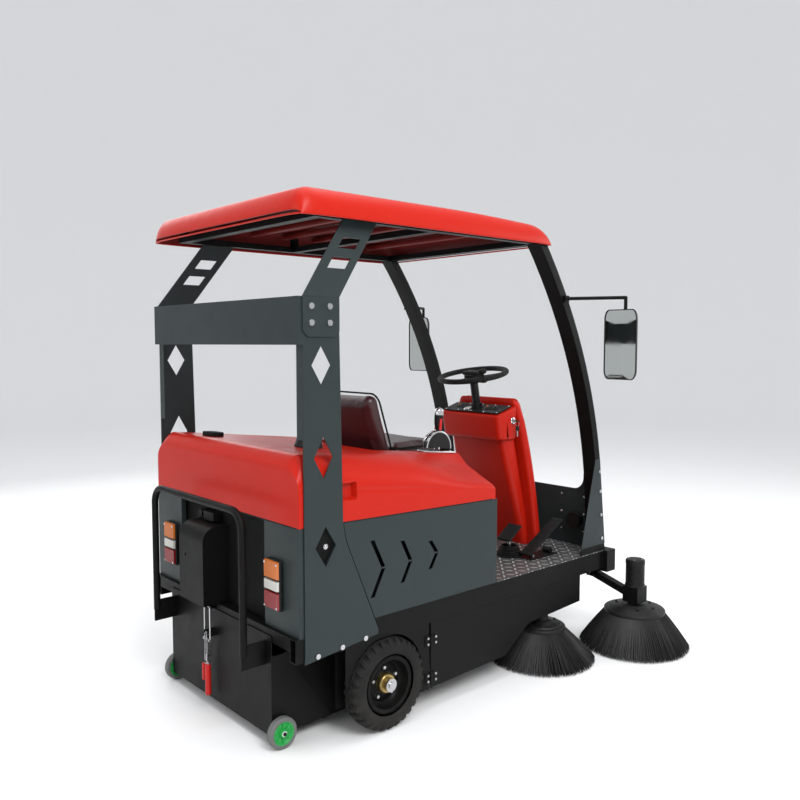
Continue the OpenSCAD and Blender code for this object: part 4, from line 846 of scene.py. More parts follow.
def rear_cover():
    half = COVER_HIGH[0] - 0.0005
    y = np.concatenate([np.linspace(cover_front_y, axle_y - 0.545, 26)[:-1],
                        np.linspace(axle_y - 0.545, axle_y + 0.10, 50)[:-1],
                        np.linspace(axle_y + 0.10, axle_y + 0.30, 44)[:-1],
                        np.linspace(axle_y + 0.30, cover_rear_y - 0.0005, 28)])
    seam, top = seam_height(y), cover_top(y)
    share = np.clip((y - cover_front_y) / 0.99, 0, 1)
    side_top = 0.868 + 0.114 * share ** 0.85
    side_top = np.minimum(side_top, top - 0.03)
    ridge = (0.340 + 0.148 * np.clip((y - (axle_y - 0.58)) / 0.945, 0, 1)) - 0.018 * smooth_step(
        y, cover_rear_y - 0.05, cover_rear_y)
    # wall: up from the seam
    wall_t = np.linspace(0, 1, 22)
    wall_x = half + 0 * wall_t[None] * y[:, None]
    wall_z = seam[:, None] + (side_top - seam)[:, None] * wall_t
    # shoulder at the rear: a cubic with level and upright ends
    s = np.linspace(0, 1, 40)[1:]
    b0, b1, b2, b3 = (1 - s) ** 3, 3 * (1 - s) ** 2 * s, 3 * (1 - s) * s ** 2, s ** 3
    rise, reach = (top - side_top)[:, None], (half - ridge)[:, None]
    round_x = half * b0 + half * b1 + (ridge[:, None] + 0.42 * reach) * b2 + ridge[:, None] * b3
    round_z = (side_top[:, None] * b0 + (side_top[:, None] + 0.62 * rise) * b1
               + top[:, None] * b2 + top[:, None] * b3)
    # shoulder at the front: a low flat slope, then a steeper one up to the ridge; the knees
    # are rounded by averaging the broken line with itself, moved a little both ways
    knots, inward, upward = (0, 0.10, 0.70, 1), (0, 0.06, 0.77, 1), (0, 0.12, 0.66, 1)
    soft = [np.clip(s + d, 0, 1) for d in (-0.04, 0, 0.04)]
    flat_x = half - reach * np.mean([np.interp(t, knots, inward) for t in soft], 0)
    flat_z = side_top[:, None] + rise * np.mean([np.interp(t, knots, upward) for t in soft], 0)
    change = smooth_step(y, axle_y - 0.56, axle_y - 0.16)[:, None]
    bend_x = flat_x * (1 - change) + round_x * change
    bend_z = flat_z * (1 - change) + round_z * change
    # top: from the ridge to the well's edge and on to the middle
    well = 0.262
    u = np.concatenate([np.linspace(0, 1, 8)[1:] * 0.80, 0.80 + np.linspace(0, 0.2, 8)[1:]])
    flat_x = ridge[:, None] + (well + 0.012 - ridge[:, None]) * u
    inner = np.concatenate([well + 0.012 - 0.024 * np.linspace(0, 1, 12)[1:],
                            (well - 0.012) * (1 - np.linspace(0, 1, 10)[1:])])
    inner_x = inner[None] + 0 * y[:, None]
    top_x = np.concatenate([flat_x, inner_x], 1)
    in_well = smooth_step(well - top_x, -0.008, 0.010) * (1 - smooth_step(
        y, axle_y - 0.205, axle_y - 0.188))[:, None]
    top_z = top[:, None] + (WELL_Z - 0.0006 - top[:, None]) * np.where(top[:, None] > WELL_Z, in_well, 0)
    x = np.concatenate([wall_x, bend_x, top_x], 1)
    z = np.concatenate([wall_z, bend_z, top_z], 1)
    # the pressed-in hand grip: a soft rectangle in (y, z) that moves the wall inwards
    grip_y, grip_z = axle_y + 0.205, 0.955
    rect = np.maximum(np.abs(y[:, None] - grip_y) / 0.062, np.abs(z - grip_z) / 0.030)
    x = x - 0.024 * (1 - smooth_step(rect, 0.86, 1.02)) * (x > 0.5)
    # one long crease where the flank meets the shoulder
    crease = np.exp(-((z - side_top[:, None] + 0.004) / 0.007) ** 2) * (x > 0.5)
    x = x - 0.0022 * crease * smooth_step(y, axle_y - 0.5, axle_y - 0.2)[:, None]
    half_grid = np.stack([x, y[:, None] + 0 * x, z], -1)
    other = half_grid[:, ::-1][:, 1:] * np.array([-1, 1, 1])
    grid = np.concatenate([half_grid, other], 1)
    # end faces close the front and the rear down to the seam
    parts = [(*quads(grid), 0)]
    for row in (0, -1):
        line = grid[row]
        foot = line.copy()
        foot[:, 2] = seam[row]
        steps = np.linspace(0, 1, 12)[:, None, None]
        parts.append((*quads(line[None] * (1 - steps) + foot[None] * steps), 0))
    cover = piece("rear_cover_shell", parts, "cover", [red_plastic], replaces=["rear_cover"],
                  smooth_angle=34)
    finish_edges(cover, 0.010, 3, 50)
    return cover


rear_cover()

# %% [markdown]
# The cover closes on a black rubber strip. It is a thin round cord that follows the seam all
# the way round, so it can be one profile carried along a closed path.

# %% Seam strip and hinges
def seam_strip():
    half = COVER_HIGH[0] - 0.004
    y = np.linspace(cover_front_y + 0.004, cover_rear_y - 0.004, 60)
    z = seam_height(y) - 0.0005
    path = np.stack([half + 0 * y, y, z], -1)
    back_x = np.linspace(half, -half, 40)[1:-1]
    back = np.stack([back_x, 0 * back_x + y[-1], 0 * back_x + z[-1]], -1)
    other = path[::-1] * np.array([-1, 1, 1])
    front_x = np.linspace(-half, half, 40)[1:-1]
    front = np.stack([front_x, 0 * front_x + y[0], 0 * front_x + z[0]], -1)
    loop = np.concatenate([path, back, other, front])
    strip = carried(circle(0.0046, 10), loop, close_path=True)
    return piece("seam_strip", [(*strip, 0)], "machine", [soft_black])


seam_strip()


def cover_hinges():
    """Knuckles, leaves and pins of the two black hinges at the cover's front edge; the
    leaves on the cover tilt with it and the others stay."""
    pin_y, pin_z = axle_y - 0.644, 0.823
    for side_name, side in SIDES:
        fixed, moving = [], []
        for start, end, target in ((0.430, 0.4505, fixed), (0.4695, 0.490, fixed),
                                   (0.4512, 0.4688, moving)):
            barrel = turned([(0, start), (0.0062, start), (0.0070, start + 0.0008),
                             (0.0070, end - 0.0008), (0.0062, end), (0, end)],
                            (0, pin_y, pin_z), count=24)
            target.append((*mirrored(barrel, side), 0))
        leaf = block((0.4515, pin_y - 0.002, pin_z + 0.004), (0.4685, pin_y + 0.017, pin_z + 0.040),
                     0.002)
        moving.append((*mirrored(leaf, side), 0))
        piece("cover_hinge_moving_" + side_name, moving, "cover", [frame_black])
        piece("cover_hinge_fixed_" + side_name, fixed, "machine", [frame_black])


cover_hinges()

# %% [markdown]
# ## The steering console
# The console is one tall moulding: a flared shell with upright flutes stands in front, a
# narrower pedestal behind it, and a head with soft corners overhangs the driver's feet. Each
# is a loft of rounded rectangles; the head's upper sections are tilted to follow the dash.

# %% Console
def rounded_ring(half_x, y0, y1, radius, count=12):
    """A closed outline in (x, y): a rectangle with quarter-round corners."""
    radius = np.minimum(radius, 0.49 * min(2 * half_x, y1 - y0))
    t = np.linspace(0, np.pi / 2, count)
    points = []
    for k, (cx, cy) in enumerate(((half_x, y1), (-half_x, y1), (-half_x, y0), (half_x, y0))):
        mx = cx - radius * np.sign(cx)
        my = cy - radius * (1 if cy == y1 else -1)
        a = t + k * np.pi / 2
        points.append(np.stack([mx + radius * np.cos(a), my + radius * np.sin(a)], -1))
        nx = ((-half_x, y1), (-half_x, y0), (half_x, y0), (half_x, y1))[k]
        end = points[-1][-1]
        nmx, nmy = nx[0] - radius * np.sign(nx[0]), nx[1] - radius * (1 if nx[1] == y1 else -1)
        b = (k + 1) * np.pi / 2
        start = np.array([nmx + radius * np.cos(b), nmy + radius * np.sin(b)])
        points.append(end + (start - end) * np.linspace(0, 1, 26)[1:-1, None])
    return np.concatenate(points)


def loft(rings, close_ends=True):
    """Closed outlines (sections, count, 3) joined into a skin; the two ends shrink to their
    middles so that the skin is closed."""
    rings = np.asarray(rings)
    if close_ends:
        ends = [np.broadcast_to(ring.mean(0), ring.shape)[None] for ring in (rings[0], rings[-1])]
        rings = np.concatenate([ends[0], rings, ends[1]])
    return quads(rings, close_v=True)


DECK_Z = box_of("floor_plate")[1][2]
DASH_SLOPE = math.atan(0.035 / 0.116)
dash_rear_y, dash_rear_z = axle_y - 1.044, 1.143


def section(z, half_x, y0, y1, radius, slope=0.0, about=0.0):
    """A rounded rectangle at height z, tilted about the line y = about by a slope."""
    ring = rounded_ring(half_x, y0, y1, radius)
    height = z + slope * (about - ring[:, 1])
    return np.concatenate([ring, height[:, None]], 1)


def console():
    parts = []
    # front shell: flared at the floor, fluted on its front face
    t = np.linspace(0, 1, 60)
    rings = []
    for share in t:
        z = DECK_Z + 0.0005 + (1.215 - DECK_Z - 0.001) * share
        flare = (1 - share) ** 1.15
        half_x = 0.2048 + 0.080 * flare
        y0 = axle_y - 1.2148 - 0.088 * (1 - share ** 2.6)
        y1 = y0 + 0.0496
        drop = np.clip((share - 0.975) / 0.025, 0, 1)
        half_x, y0, y1 = half_x - 0.010 * drop ** 2, y0 + 0.008 * drop ** 2, y1 - 0.008 * drop ** 2
        ring = section(z, half_x, y0, y1, 0.024)
        # flutes: two shallow grooves on the front face, near each side
        front = np.clip((y0 + 0.012 - ring[:, 1]) / 0.010, 0, 1)
        groove = np.exp(-((np.abs(ring[:, 0]) - half_x * 0.72) / 0.012) ** 2)
        fade = np.clip(share * 8, 0, 1) * np.clip((0.93 - share) * 8, 0, 1)
        ring[:, 1] += 0.009 * front * groove * fade
        rings.append(ring)
    # visor corners: the top row falls away towards both ends
    rings = np.array(rings)
    edge = np.abs(rings[..., 0]) / 0.205
    fall = np.clip((edge - 0.80) / 0.20, 0, 1) ** 2 * 0.028
    high = np.clip((rings[..., 2] - 1.10) / 0.115, 0, 1)
    rings[..., 2] -= fall * high
    parts.append((*loft(rings), 0))
    # pedestal
    rings = []
    for share in np.linspace(0, 1, 24):
        z = DECK_Z + 0.0005 + (1.020 - DECK_Z) * share
        half_x = 0.2195 + (0.1855 - 0.2195) * share
        y0 = axle_y - 1.2995 + 0.100 * share
        y1 = axle_y - 1.2345 + 0.144 * share
        rings.append(section(z, half_x, y0, y1, 0.035))
    parts.append((*loft(rings), 0))
    # head: rounded bottom edge, upright sides, top tilted with the dash
    rings = []
    steps = np.concatenate([np.linspace(0, 1, 7), 1 + np.linspace(0, 1, 16)[1:],
                            2 + np.linspace(0, 1, 7)[1:]])
    for share in steps:
        low_part = np.clip(1 - share, 0, 1)
        top_part = np.clip(share - 2, 0, 1)
        inset = 0.020 * (1 - np.sqrt(1 - low_part ** 2)) + 0.006 * (1 - np.sqrt(1 - top_part ** 2))
        rise = 1.004 + 0.020 * (1 - low_part)
        z_low = rise
        z_top = dash_rear_z - 0.0065 - 0.012 + 0.006 * np.sin(top_part * np.pi / 2)
        level = np.clip(share - 1, 0, 1)
        z = z_low + (z_top - z_low) * level if share > 1 else rise
        slope = math.tan(DASH_SLOPE) * level
        ring = section(z + (0.006 * np.sin(top_part * np.pi / 2) if share > 2 else 0),
                       0.2068 - inset, axle_y - 1.188, axle_y - 1.0365 - inset * 0.9,
                       0.030, slope, dash_rear_y)
        lean = (1 - np.clip((ring[:, 2] - 1.004) / 0.12, 0, 1)) * 0.020
        ring[:, 1] -= lean * (ring[:, 1] > axle_y - 1.10)
        rings.append(ring)
    parts.append((*loft(rings), 0))
    console_piece = piece("console_shell", parts, "machine", [red_plastic], replaces=["console"],
                          smooth_angle=48)
    return console_piece


console()

# %% [markdown]
# ## The seat
# The cushion and the backrest are foam under vinyl. Each starts as a closed block with soft
# corners, a little smaller than its space, that a cloth simulation blows up like a cushion:
# the faces crown and the sides pull in between the corners. A cap on the distance keeps it in
# its place. The piping is a thin cord round the front face.

# %% Padded blocks
def vinyl_finish():
    """Dark maroon vinyl with a fine leather grain: two Voronoi layers feed the bump."""
    material = finish("maroon vinyl", (0.035, 0.008, 0.010), 0.38, drift=0.3, grain=0.4, dust=0.05,
                      wear=0.0, edge=0, coat=0.15, Coat_Roughness=0.35)
    tree = material.node_tree
    shader = tree.nodes["Principled BSDF"]
    place = node(tree, "TexCoord").outputs["Object"]
    cells = node(tree, "TexVoronoi", Scale=420.0)
    tree.links.new(place, cells.inputs["Vector"])
    relief = node(tree, "Bump", Strength=0.25, Distance=0.0004)
    tree.links.new(cells.outputs["Distance"], relief.inputs["Height"])
    tree.links.new(shader.inputs["Normal"].links[0].from_socket, relief.inputs["Normal"])
    tree.links.new(relief.outputs[0], shader.inputs["Normal"])
    return material


maroon_vinyl = vinyl_finish()


def swell(made, pressure=4.0, most=0.012, frames=20):
    """Blows a closed mesh up with a cloth simulation, then caps how far a point has moved and
    keeps the result as the piece's own shape."""
    remesh = made.modifiers.new("voxels", "REMESH")
    remesh.mode, remesh.voxel_size = "VOXEL", 0.0065
    depsgraph = bpy.context.evaluated_depsgraph_get()
    mesh = bpy.data.meshes.new_from_object(made.evaluated_get(depsgraph))
    made.modifiers.clear()
    made.data = mesh
    before = np.empty(len(mesh.vertices) * 3)
    mesh.vertices.foreach_get("co", before)
    cloth = made.modifiers.new("cloth", "CLOTH")
    cloth.settings.use_pressure = True
    cloth.settings.uniform_pressure_force = pressure
    cloth.settings.effector_weights.gravity = 0
    cloth.settings.quality = 5
    cloth.point_cache.frame_start, cloth.point_cache.frame_end = 1, frames
    for step in range(1, frames + 1):
        bpy.context.scene.frame_set(step)
    depsgraph = bpy.context.evaluated_depsgraph_get()
    after = np.empty(len(mesh.vertices) * 3)
    made.evaluated_get(depsgraph).to_mesh().vertices.foreach_get("co", after)
    made.modifiers.clear()
    bpy.context.scene.frame_set(1)
    move = (after - before).reshape(-1, 3)
    size = np.linalg.norm(move, axis=1, keepdims=True)
    move = move * np.minimum(1, most / np.maximum(size, 1e-9))
    mesh.vertices.foreach_set("co", (before.reshape(-1, 3) + move).ravel())
    print(made.name, "swelled by", round(float(np.minimum(size, most).max()) * 1000, 1), "mm")
    mesh.materials.clear()
    mesh.materials.append(maroon_vinyl)
    mesh.shade_smooth()
    made.modifiers.new("smooth", "SUBSURF").render_levels = 1
    made.modifiers["smooth"].levels = 1
    return made


BACK_LEAN = 18                                # degrees from upright
SEAT_HALF = (SEAT_HIGH[0] - SEAT_LOW[0]) / 2
BACK_Y = axle_y - 0.362
THICK = 0.082


def seat():
    inset = 0.010
    low = np.array([-SEAT_HALF + inset, SEAT_LOW[1] + inset, SEAT_LOW[2] + 0.001])
    high = np.array([SEAT_HALF - inset, BACK_Y - 0.006, SEAT_HIGH[2] - inset])
    base = piece("seat_base_pad", [(*block(low, high, 0.034, 6), 0)], "cover", [maroon_vinyl],
                 replaces=["seat_cushion"], smooth_angle=None)
    points = np.empty(len(base.data.vertices) * 3)
    base.data.vertices.foreach_get("co", points)
    points = points.reshape(-1, 3)
    up = (points[:, 2] - low[2]) / (high[2] - low[2])
    points[:, 1] += np.where(points[:, 1] > (low[1] + high[1]) / 2, 0.030 * up, 0)
    base.data.vertices.foreach_set("co", points.ravel())
    swell(base, 3.0, 0.009)
    # the backrest is made upright at the origin, then leaned back about its foot
    lean = placed_at((0, BACK_Y, SEAT_LOW[2]), turn_x=-BACK_LEAN)
    back_low = np.array([-SEAT_HALF + inset, 0.006, 0.036])
    back_high = np.array([SEAT_HALF - inset, THICK - 0.008, 0.352])
    back = piece("seat_back_pad", [(*moved(block(back_low, back_high, 0.036, 6), lean), 0)],
                 "cover", [maroon_vinyl], replaces=["seat_back"], smooth_angle=None)
    swell(back, 3.0, 0.008)
    # piping round the cushion's top edge and the backrest's front edge
    ring = rounded_ring(SEAT_HALF - 0.014, low[1] + 0.006, high[1] + 0.022, 0.040)
    path = np.concatenate([ring, np.full((len(ring), 1), high[2] - 0.012)], 1)
    parts = [(*carried(circle(0.0042, 8), path, close_path=True), 0)]
    ring = rounded_ring(SEAT_HALF - 0.014, 0.046, 0.350, 0.045)
    path = np.stack([ring[:, 0], 0 * ring[:, 0] + 0.012, ring[:, 1]], -1)
    edge = carried(circle(0.0042, 8), path, (0, 1, 0), close_path=True)
    parts.append((*moved(edge, lean), 0))
    piece("seat_piping", parts, "cover", [soft_black])


seat()

# %% [markdown]
# ## Steering wheel
# The rim is a closed round tube. Three spokes widen into the hub, a
# rectangular pad sits on top, and a knob for one-handed turns stands on the rim. All of it is
# drawn in the wheel's own plane and then leaned like the column.

# %% Steering wheel
def steering_wheel():
    centre = joint_place("steering_wheel_turn")
    lean = placed_at(centre, turn_x=-10.2)
    radius = 0.172
    parts = []
    t = np.linspace(0, 2 * np.pi, 120, endpoint=False)
    path = np.stack([radius * np.cos(t), radius * np.sin(t), 0 * t], -1)
    wave = circle(0.0135, 20)
    parts.append((*carried(wave, path, close_path=True), 0))
    for a in (90, 210, 330):
        turn = placed_at((0, 0, 0), turn_z=a)
        s = np.linspace(0, 1, 14)
        x = 0.018 + (radius - 0.014 - 0.018) * s
        z = -0.012 + 0.010 * s ** 2
        half_w = 0.030 - 0.016 * np.sin(s * np.pi / 2)
        ring = circle(1.0, 16)
        grid = np.stack([x[:, None] + 0 * ring[None, :, 0],
                         half_w[:, None] * ring[None, :, 0],
                         z[:, None] + 0.0055 * ring[None, :, 1]], -1)
        parts.append((*moved(quads(grid, close_v=True), turn), 0))
    boss = [(0.0, -0.041), (0.026, -0.041), (0.030, -0.037), (0.044, -0.018), (0.047, -0.008),
            (0.046, 0.004), (0.040, 0.008), (0.0, 0.008)]
    parts.append((*turned(boss, (0, 0, 0), "z", 40), 0))
    parts.append((*block((-0.052, -0.030, 0.004), (0.052, 0.030, 0.022), 0.008, 4), 0))
    knob_at = np.array([radius * math.cos(math.radians(150)), radius * math.sin(math.radians(150)), 0])
    knob = [(0, 0.008), (0.007, 0.008), (0.006, 0.026), (0.014, 0.029), (0.020, 0.034),
            (0.0215, 0.042), (0.019, 0.049), (0.010, 0.0525), (0, 0.053)]
    parts.append((*turned(knob, knob_at, "z", 32), 0))
    parts.append((*block(knob_at + [-0.015, -0.011, -0.017], knob_at + [0.015, 0.011, 0.010], 0.004), 0))
    parts = [(*moved((points, faces), lean), number) for points, faces, number in parts]
    return piece("steering_wheel_look", parts, "hand_wheel", [soft_black],
                 replaces=["steering_wheel"], smooth_angle=48)


steering_wheel()

# %% [markdown]
# ## The dash
# The black plate holds two banks of small rockers, a round gauge and a ring of screws. Its
# pieces are drawn flat, x across and y up the slope, and laid on the plate by one matrix.

# %% Dash details
def on_dash():
    """From the flat drawing to the dash: y runs forward up the slope, z stands off it."""
    flip = Matrix.Diagonal((1, -1, 1, 1))
    turn = Matrix.Rotation(-DASH_SLOPE, 4, "X")
    return Matrix.Translation(Vector((0, dash_rear_y, dash_rear_z))) @ turn @ flip


def screw_head(spot, radius=0.0048, axis="z", sign=1):
    """A round-headed screw with a sunk middle."""
    h = 0.0022 * sign
    head = [(radius, 0), (radius * 0.96, h * 0.4), (radius * 0.7, h), (radius * 0.34, h * 1.05),
            (radius * 0.24, h * 0.5), (0, h * 0.45)]
    return turned(head, spot, axis, 16)


def dash_details():
    lay, plate_top = on_dash(), 0.004
    parts = []
    for x in np.linspace(-0.178, 0.178, 5):
        for y in (0.012, 0.109):
            parts.append((*screw_head((x, y, plate_top)), 1))
    # the gauge: a chromed bezel, a pale dial and a needle
    parts.append((*turned([(0.0215, 0.003), (0.0215, 0.0086), (0.020, 0.0098), (0.0178, 0.0094),
                           (0.0172, 0.0075), (0.0172, 0.0070)], (0.036, 0.030, 0), "z", 40), 2))
    parts.append((*turned([(0.0172, 0.0092), (0, 0.0092)], (0.036, 0.030, 0), "z", 40), 3))
    parts.append((*block((0.0352, 0.024, 0.0090), (0.0368, 0.043, 0.0100), 0.0003, 1), 4))
    # raised frames, one for each listed x; only the frames are drawn, and the x is not applied, so all
    # stand at x = 0
    for x in (-0.136, -0.108, -0.080, 0.092, 0.120):
        ring = rounded_ring(0.0118, 0.062 - 0.0188, 0.062 + 0.0188, 0.003, 5)
        path = np.concatenate([ring, np.full((len(ring), 1), plate_top + 0.0006)], 1)
        parts.append((*carried(circle(0.0012, 6), path, close_path=True), 0))
    for x, colour in ((-0.052, 5), (0.148, 5), (0.060, 6)):
        lamp = [(0.0058, 0.0035), (0.0058, 0.0062), (0.0045, 0.0085), (0.0, 0.0098)]
        parts.append((*turned(lamp, (x, 0.086, 0), "z", 18), colour))
    parts = [(*moved((points, faces), lay), number) for points, faces, number in parts]
    piece("dash_details", parts, "machine",
          [black_plastic, zinc, chrome, white_plastic, grip_red, amber_lens, red_lens])


dash_details()


def rockers():
    """Each rocker has a saddle-shaped face: its height dips towards the middle."""
    for number in range(1, 6):
        name = f"rocker_{number}"
        centre_x = box_of(name)[2][0]
        u, v = np.meshgrid(np.linspace(-1, 1, 9), np.linspace(-1, 1, 17), indexing="ij")
        top = 0.0046 + 0.0030 * np.abs(v) ** 1.5 - 0.0006 * u ** 2
        face = np.stack([0.0096 * u, 0.062 + 0.0166 * v, top], -1)
        skirt_line = np.concatenate([face[:, 0], face[-1, 1:], face[-2::-1, -1], face[0, -2:0:-1]])
        low_line = skirt_line.copy()
        low_line[:, 2] = 0.0012
        parts = [(*quads(face), 0), (*quads(np.stack([skirt_line, low_line]), close_v=True), 0)]
        dot = block((-0.0015, 0.0712, 0.0058), (0.0015, 0.0726, 0.0068), 0.0003, 1)
        parts.append((*dot, 1))
        lay = on_dash() @ Matrix.Translation(Vector((centre_x, 0, 0)))
        parts = [(*moved((points, faces), lay), slot_number) for points, faces, slot_number in parts]
        piece(f"rocker_look_{number}", parts, f"switch_{number}", [soft_black, white_plastic],
              replaces=[name])


rockers()

# %% Ignition switch
def ignition():
    """A chrome collar on the console's side, the key in it, and a ring with a spare key."""
    spot = joint_place("key_turn")
    face = -0.2075
    collar = [(0.0175, face), (0.0175, face - 0.003), (0.015, face - 0.0055), (0.0115, face - 0.006),
              (0.0105, face - 0.0045), (0.0098, face - 0.001)]
    centre = np.array([0, spot[1], spot[2]])
    piece("ignition_collar", [(*turned(collar, centre, count=36), 0)], "machine", [chrome])
    parts = []
    barrel = [(0.0088, face + 0.001), (0.0088, face - 0.007), (0.006, face - 0.008), (0, face - 0.008)]
    parts.append((*turned(barrel, centre, count=24), 0))
    blade = block((face - 0.022, spot[1] - 0.0045, spot[2] - 0.0012),
                  (face - 0.006, spot[1] + 0.0045, spot[2] + 0.0012), 0.0004, 1)
    parts.append((*blade, 0))
    bow = block((face - 0.035, spot[1] - 0.0125, spot[2] - 0.0035),
                (face - 0.014, spot[1] + 0.0125, spot[2] + 0.0035), 0.003, 3)
    parts.append((*bow, 1))
    # the ring hangs from the bow; the spare key hangs from the ring
    t = np.linspace(0, 2 * np.pi, 28, endpoint=False)
    ring = np.stack([0 * t + face - 0.030, spot[1] + 0.013 * np.sin(t),
                     spot[2] - 0.014 + 0.013 * np.cos(t)], -1)
    parts.append((*carried(circle(0.0009, 6), ring, (1, 0, 0), close_path=True), 0))
    head = block((face - 0.0335, spot[1] - 0.012, spot[2] - 0.050),
                 (face - 0.0275, spot[1] + 0.012, spot[2] - 0.025), 0.003, 3)
    parts.append((*head, 1))
    spare = block((face - 0.0315, spot[1] - 0.004, spot[2] - 0.078),
                  (face - 0.0295, spot[1] + 0.004, spot[2] - 0.049), 0.0005, 1)
    parts.append((*spare, 0))
    piece("ignition_keys", parts, "key", [zinc, soft_black], replaces=["ignition_key"])


ignition()

# %% [markdown]
# ## Hand lever and quadrant
# A chromed half-ring guides the throttle lever. The lever is a flat bar that swells into a
# grip with a chromed cap and a red button.

# %% Hand lever
COVER_SLOPE = math.degrees(math.atan(0.098 / 0.945))


def on_cover(x, y_from_axle):
    """A matrix that stands a flat-based drawing on the cover's sloping top."""
    y = axle_y + y_from_axle
    z = 1.104 - 0.098 * (axle_y + 0.365 - y) / 0.945 + 0.0003
    return placed_at((x, y, z), turn_x=COVER_SLOPE)


def quadrant():
    lay = on_cover(-0.325, -0.490)
    base, radius = 0.020, 0.077
    t = np.linspace(0, np.pi, 48)
    parts = []
    for x in (-0.0125, 0.0125):
        # cheek: a half disc from the hub out to the rim
        r = np.array([0.006, 0.030, 0.055, radius - 0.004])
        for offset, _ in ((-0.0042, 0), (0.0042, 1)):
            grid = np.stack([x + offset + 0 * r[:, None] * t, r[:, None] * np.cos(t),
                             base + r[:, None] * np.sin(t)], -1)
            parts.append((*quads(grid), 1))
    flat = np.array([[-0.0168, -0.004], [0.0168, -0.004], [0.0168, 0.0005], [0.0152, 0.0022],
                     [-0.0152, 0.0022], [-0.0168, 0.0005]])
    slot_half = 0.0060
    for s in (-1, 1):
        strip = flat.copy()
        strip[:, 0] = s * (slot_half + (strip[:, 0] + 0.0168) / 0.0336 * (0.0168 - slot_half))
        path = np.stack([0 * t, (radius - 0.003) * np.cos(t), base + (radius - 0.003) * np.sin(t)], -1)
        radial = unit(path - np.array([0, 0, base]))
        grid = path[:, None] + strip[None, :, 1:] * radial[:, None]
        grid[..., 0] += strip[None, :, 0]
        parts.append((*quads(grid, close_v=True), 0))
    parts.append((*block((-0.024, -0.096, 0.0), (0.024, 0.096, 0.008), 0.003), 0))
    for y in (-0.088, 0.088):
        parts.append((*screw_head((0, y, 0.008)), 2))
    parts = [(*moved((points, faces), lay), number) for points, faces, number in parts]
    piece("quadrant_look", parts, "cover", [chrome, black_plastic, zinc],
          replaces=["lever_quadrant"], smooth_angle=40)


def hand_lever():
    lay = on_cover(-0.325, -0.490)
    t = np.linspace(0, 1, 40)
    z = 0.014 + 0.184 * t
    wide = 0.0085 + 0.0085 * smooth_step(t, 0.42, 0.62) + 0.004 * np.sin(np.clip(t - 0.6, 0, 1) * 7.8)
    deep = 0.0042 + 0.0110 * smooth_step(t, 0.42, 0.62)
    roll = np.sqrt(np.clip(1 - np.clip((t - 0.93) / 0.07, 0, 1) ** 2, 0.02, 1))
    ring = circle(1.0, 24)
    ring = np.sign(ring) * np.abs(ring) ** 0.72
    grid = np.stack([(deep * roll)[:, None] * ring[None, :, 0], (wide * roll)[:, None] * ring[None, :, 1],
                     z[:, None] + 0 * ring[None, :, 0]], -1)
    parts = [(*loft(grid), 0)]
    # chromed cap over the top of the grip
    cut = t > 0.80
    cap = grid[cut] * np.array([1.05, 1.05, 1]) + [0, 0, 0.0008]
    parts.append((*loft(cap), 1))
    button = block((-0.0165, -0.007, 0.100), (-0.0125, 0.007, 0.150), 0.0018)
    parts.append((*button, 2))
    parts.append((*block((0.0125, -0.007, 0.100), (0.0165, 0.007, 0.150), 0.0018), 2))
    pin = turned([(0, -0.0165), (0.0048, -0.0165), (0.0048, 0.0165), (0, 0.0165)], (0, 0, 0.020), count=20)
    parts.append((*pin, 1))
    parts = [(*moved((points, faces), lay), number) for points, faces, number in parts]
    piece("hand_lever_look", parts, "lever", [soft_black, chrome, grip_red], replaces=["hand_lever"])


quadrant()
hand_lever()

# %% [markdown]
# ## Small pieces on the cover
# The beacon is a ribbed amber dome on a black foot; the tank cap is a turned lid with grip
# ribs round its edge, made by a wave in its radius.

# %% Beacon and tank cap
def ribbed(profile, centre, count, ribs, depth, low, high):
    """A turned profile whose radius waves between the heights low and high."""
    profile = np.asarray(profile, float)
    t = np.linspace(0, 2 * np.pi, count, endpoint=False)
    share = ((profile[:, 1] > low) & (profile[:, 1] < high))[:, None]
    r = profile[:, :1] - depth * share * (0.5 - 0.5 * np.cos(ribs * t))[None]
    grid = np.stack([r * np.cos(t), r * np.sin(t), profile[:, 1:] + 0 * t], -1) + centre
    return quads(grid, close_v=True)


def beacon_and_cap():
    lay = on_cover(-0.200, 0.110)
    foot = [(0, 0), (0.0575, 0), (0.0575, 0.008), (0.055, 0.012), (0.052, 0.030), (0.049, 0.0335),
            (0, 0.0335)]
    dome = [(0.046, 0.0335), (0.0475, 0.036), (0.0470, 0.045), (0.0455, 0.070), (0.0430, 0.092),
            (0.0390, 0.108), (0.030, 0.118), (0.015, 0.1228), (0, 0.1235)]
    parts = [(*turned(foot, (0, 0, 0), "z", 48), 0),
             (*ribbed(dome, np.zeros(3), 192, 32, 0.0011, 0.038, 0.100), 1)]
    for t in np.arange(3) * 2 * np.pi / 3 + 0.5:
        spot = (0.0545 * np.cos(t), 0.0545 * np.sin(t), 0.0075)
        parts.append((*bolt(spot, 0.0035, 0.003, "z"), 2))
    parts = [(*moved((points, faces), lay), number) for points, faces, number in parts]
    piece("beacon_look", parts, "cover", [black_plastic, amber_lens, zinc], replaces=["beacon"])
    lay = on_cover(0.285, 0.274)
    lid = [(0, 0.0), (0.044, 0.0), (0.0455, 0.002), (0.0455, 0.015), (0.043, 0.0185), (0.030, 0.0195),
           (0.028, 0.0175), (0, 0.0175)]
    grip = block((-0.026, -0.006, 0.012), (0.026, 0.006, 0.0198), 0.003)
    parts = [(*ribbed(lid, np.zeros(3), 192, 32, 0.0016, 0.001, 0.0155), 0), (*grip, 0)]
    parts = [(*moved((points, faces), lay), number) for points, faces, number in parts]
    piece("tank_cap_look", parts, "cap", [soft_black], replaces=["tank_cap"])


beacon_and_cap()

# %% [markdown]
# ## Tail lamps
# Each lamp is a black tray with three lenses: amber, clear and red. Vertical ribs inside the
# lens catch the light; they are a fine wave on the lens face.

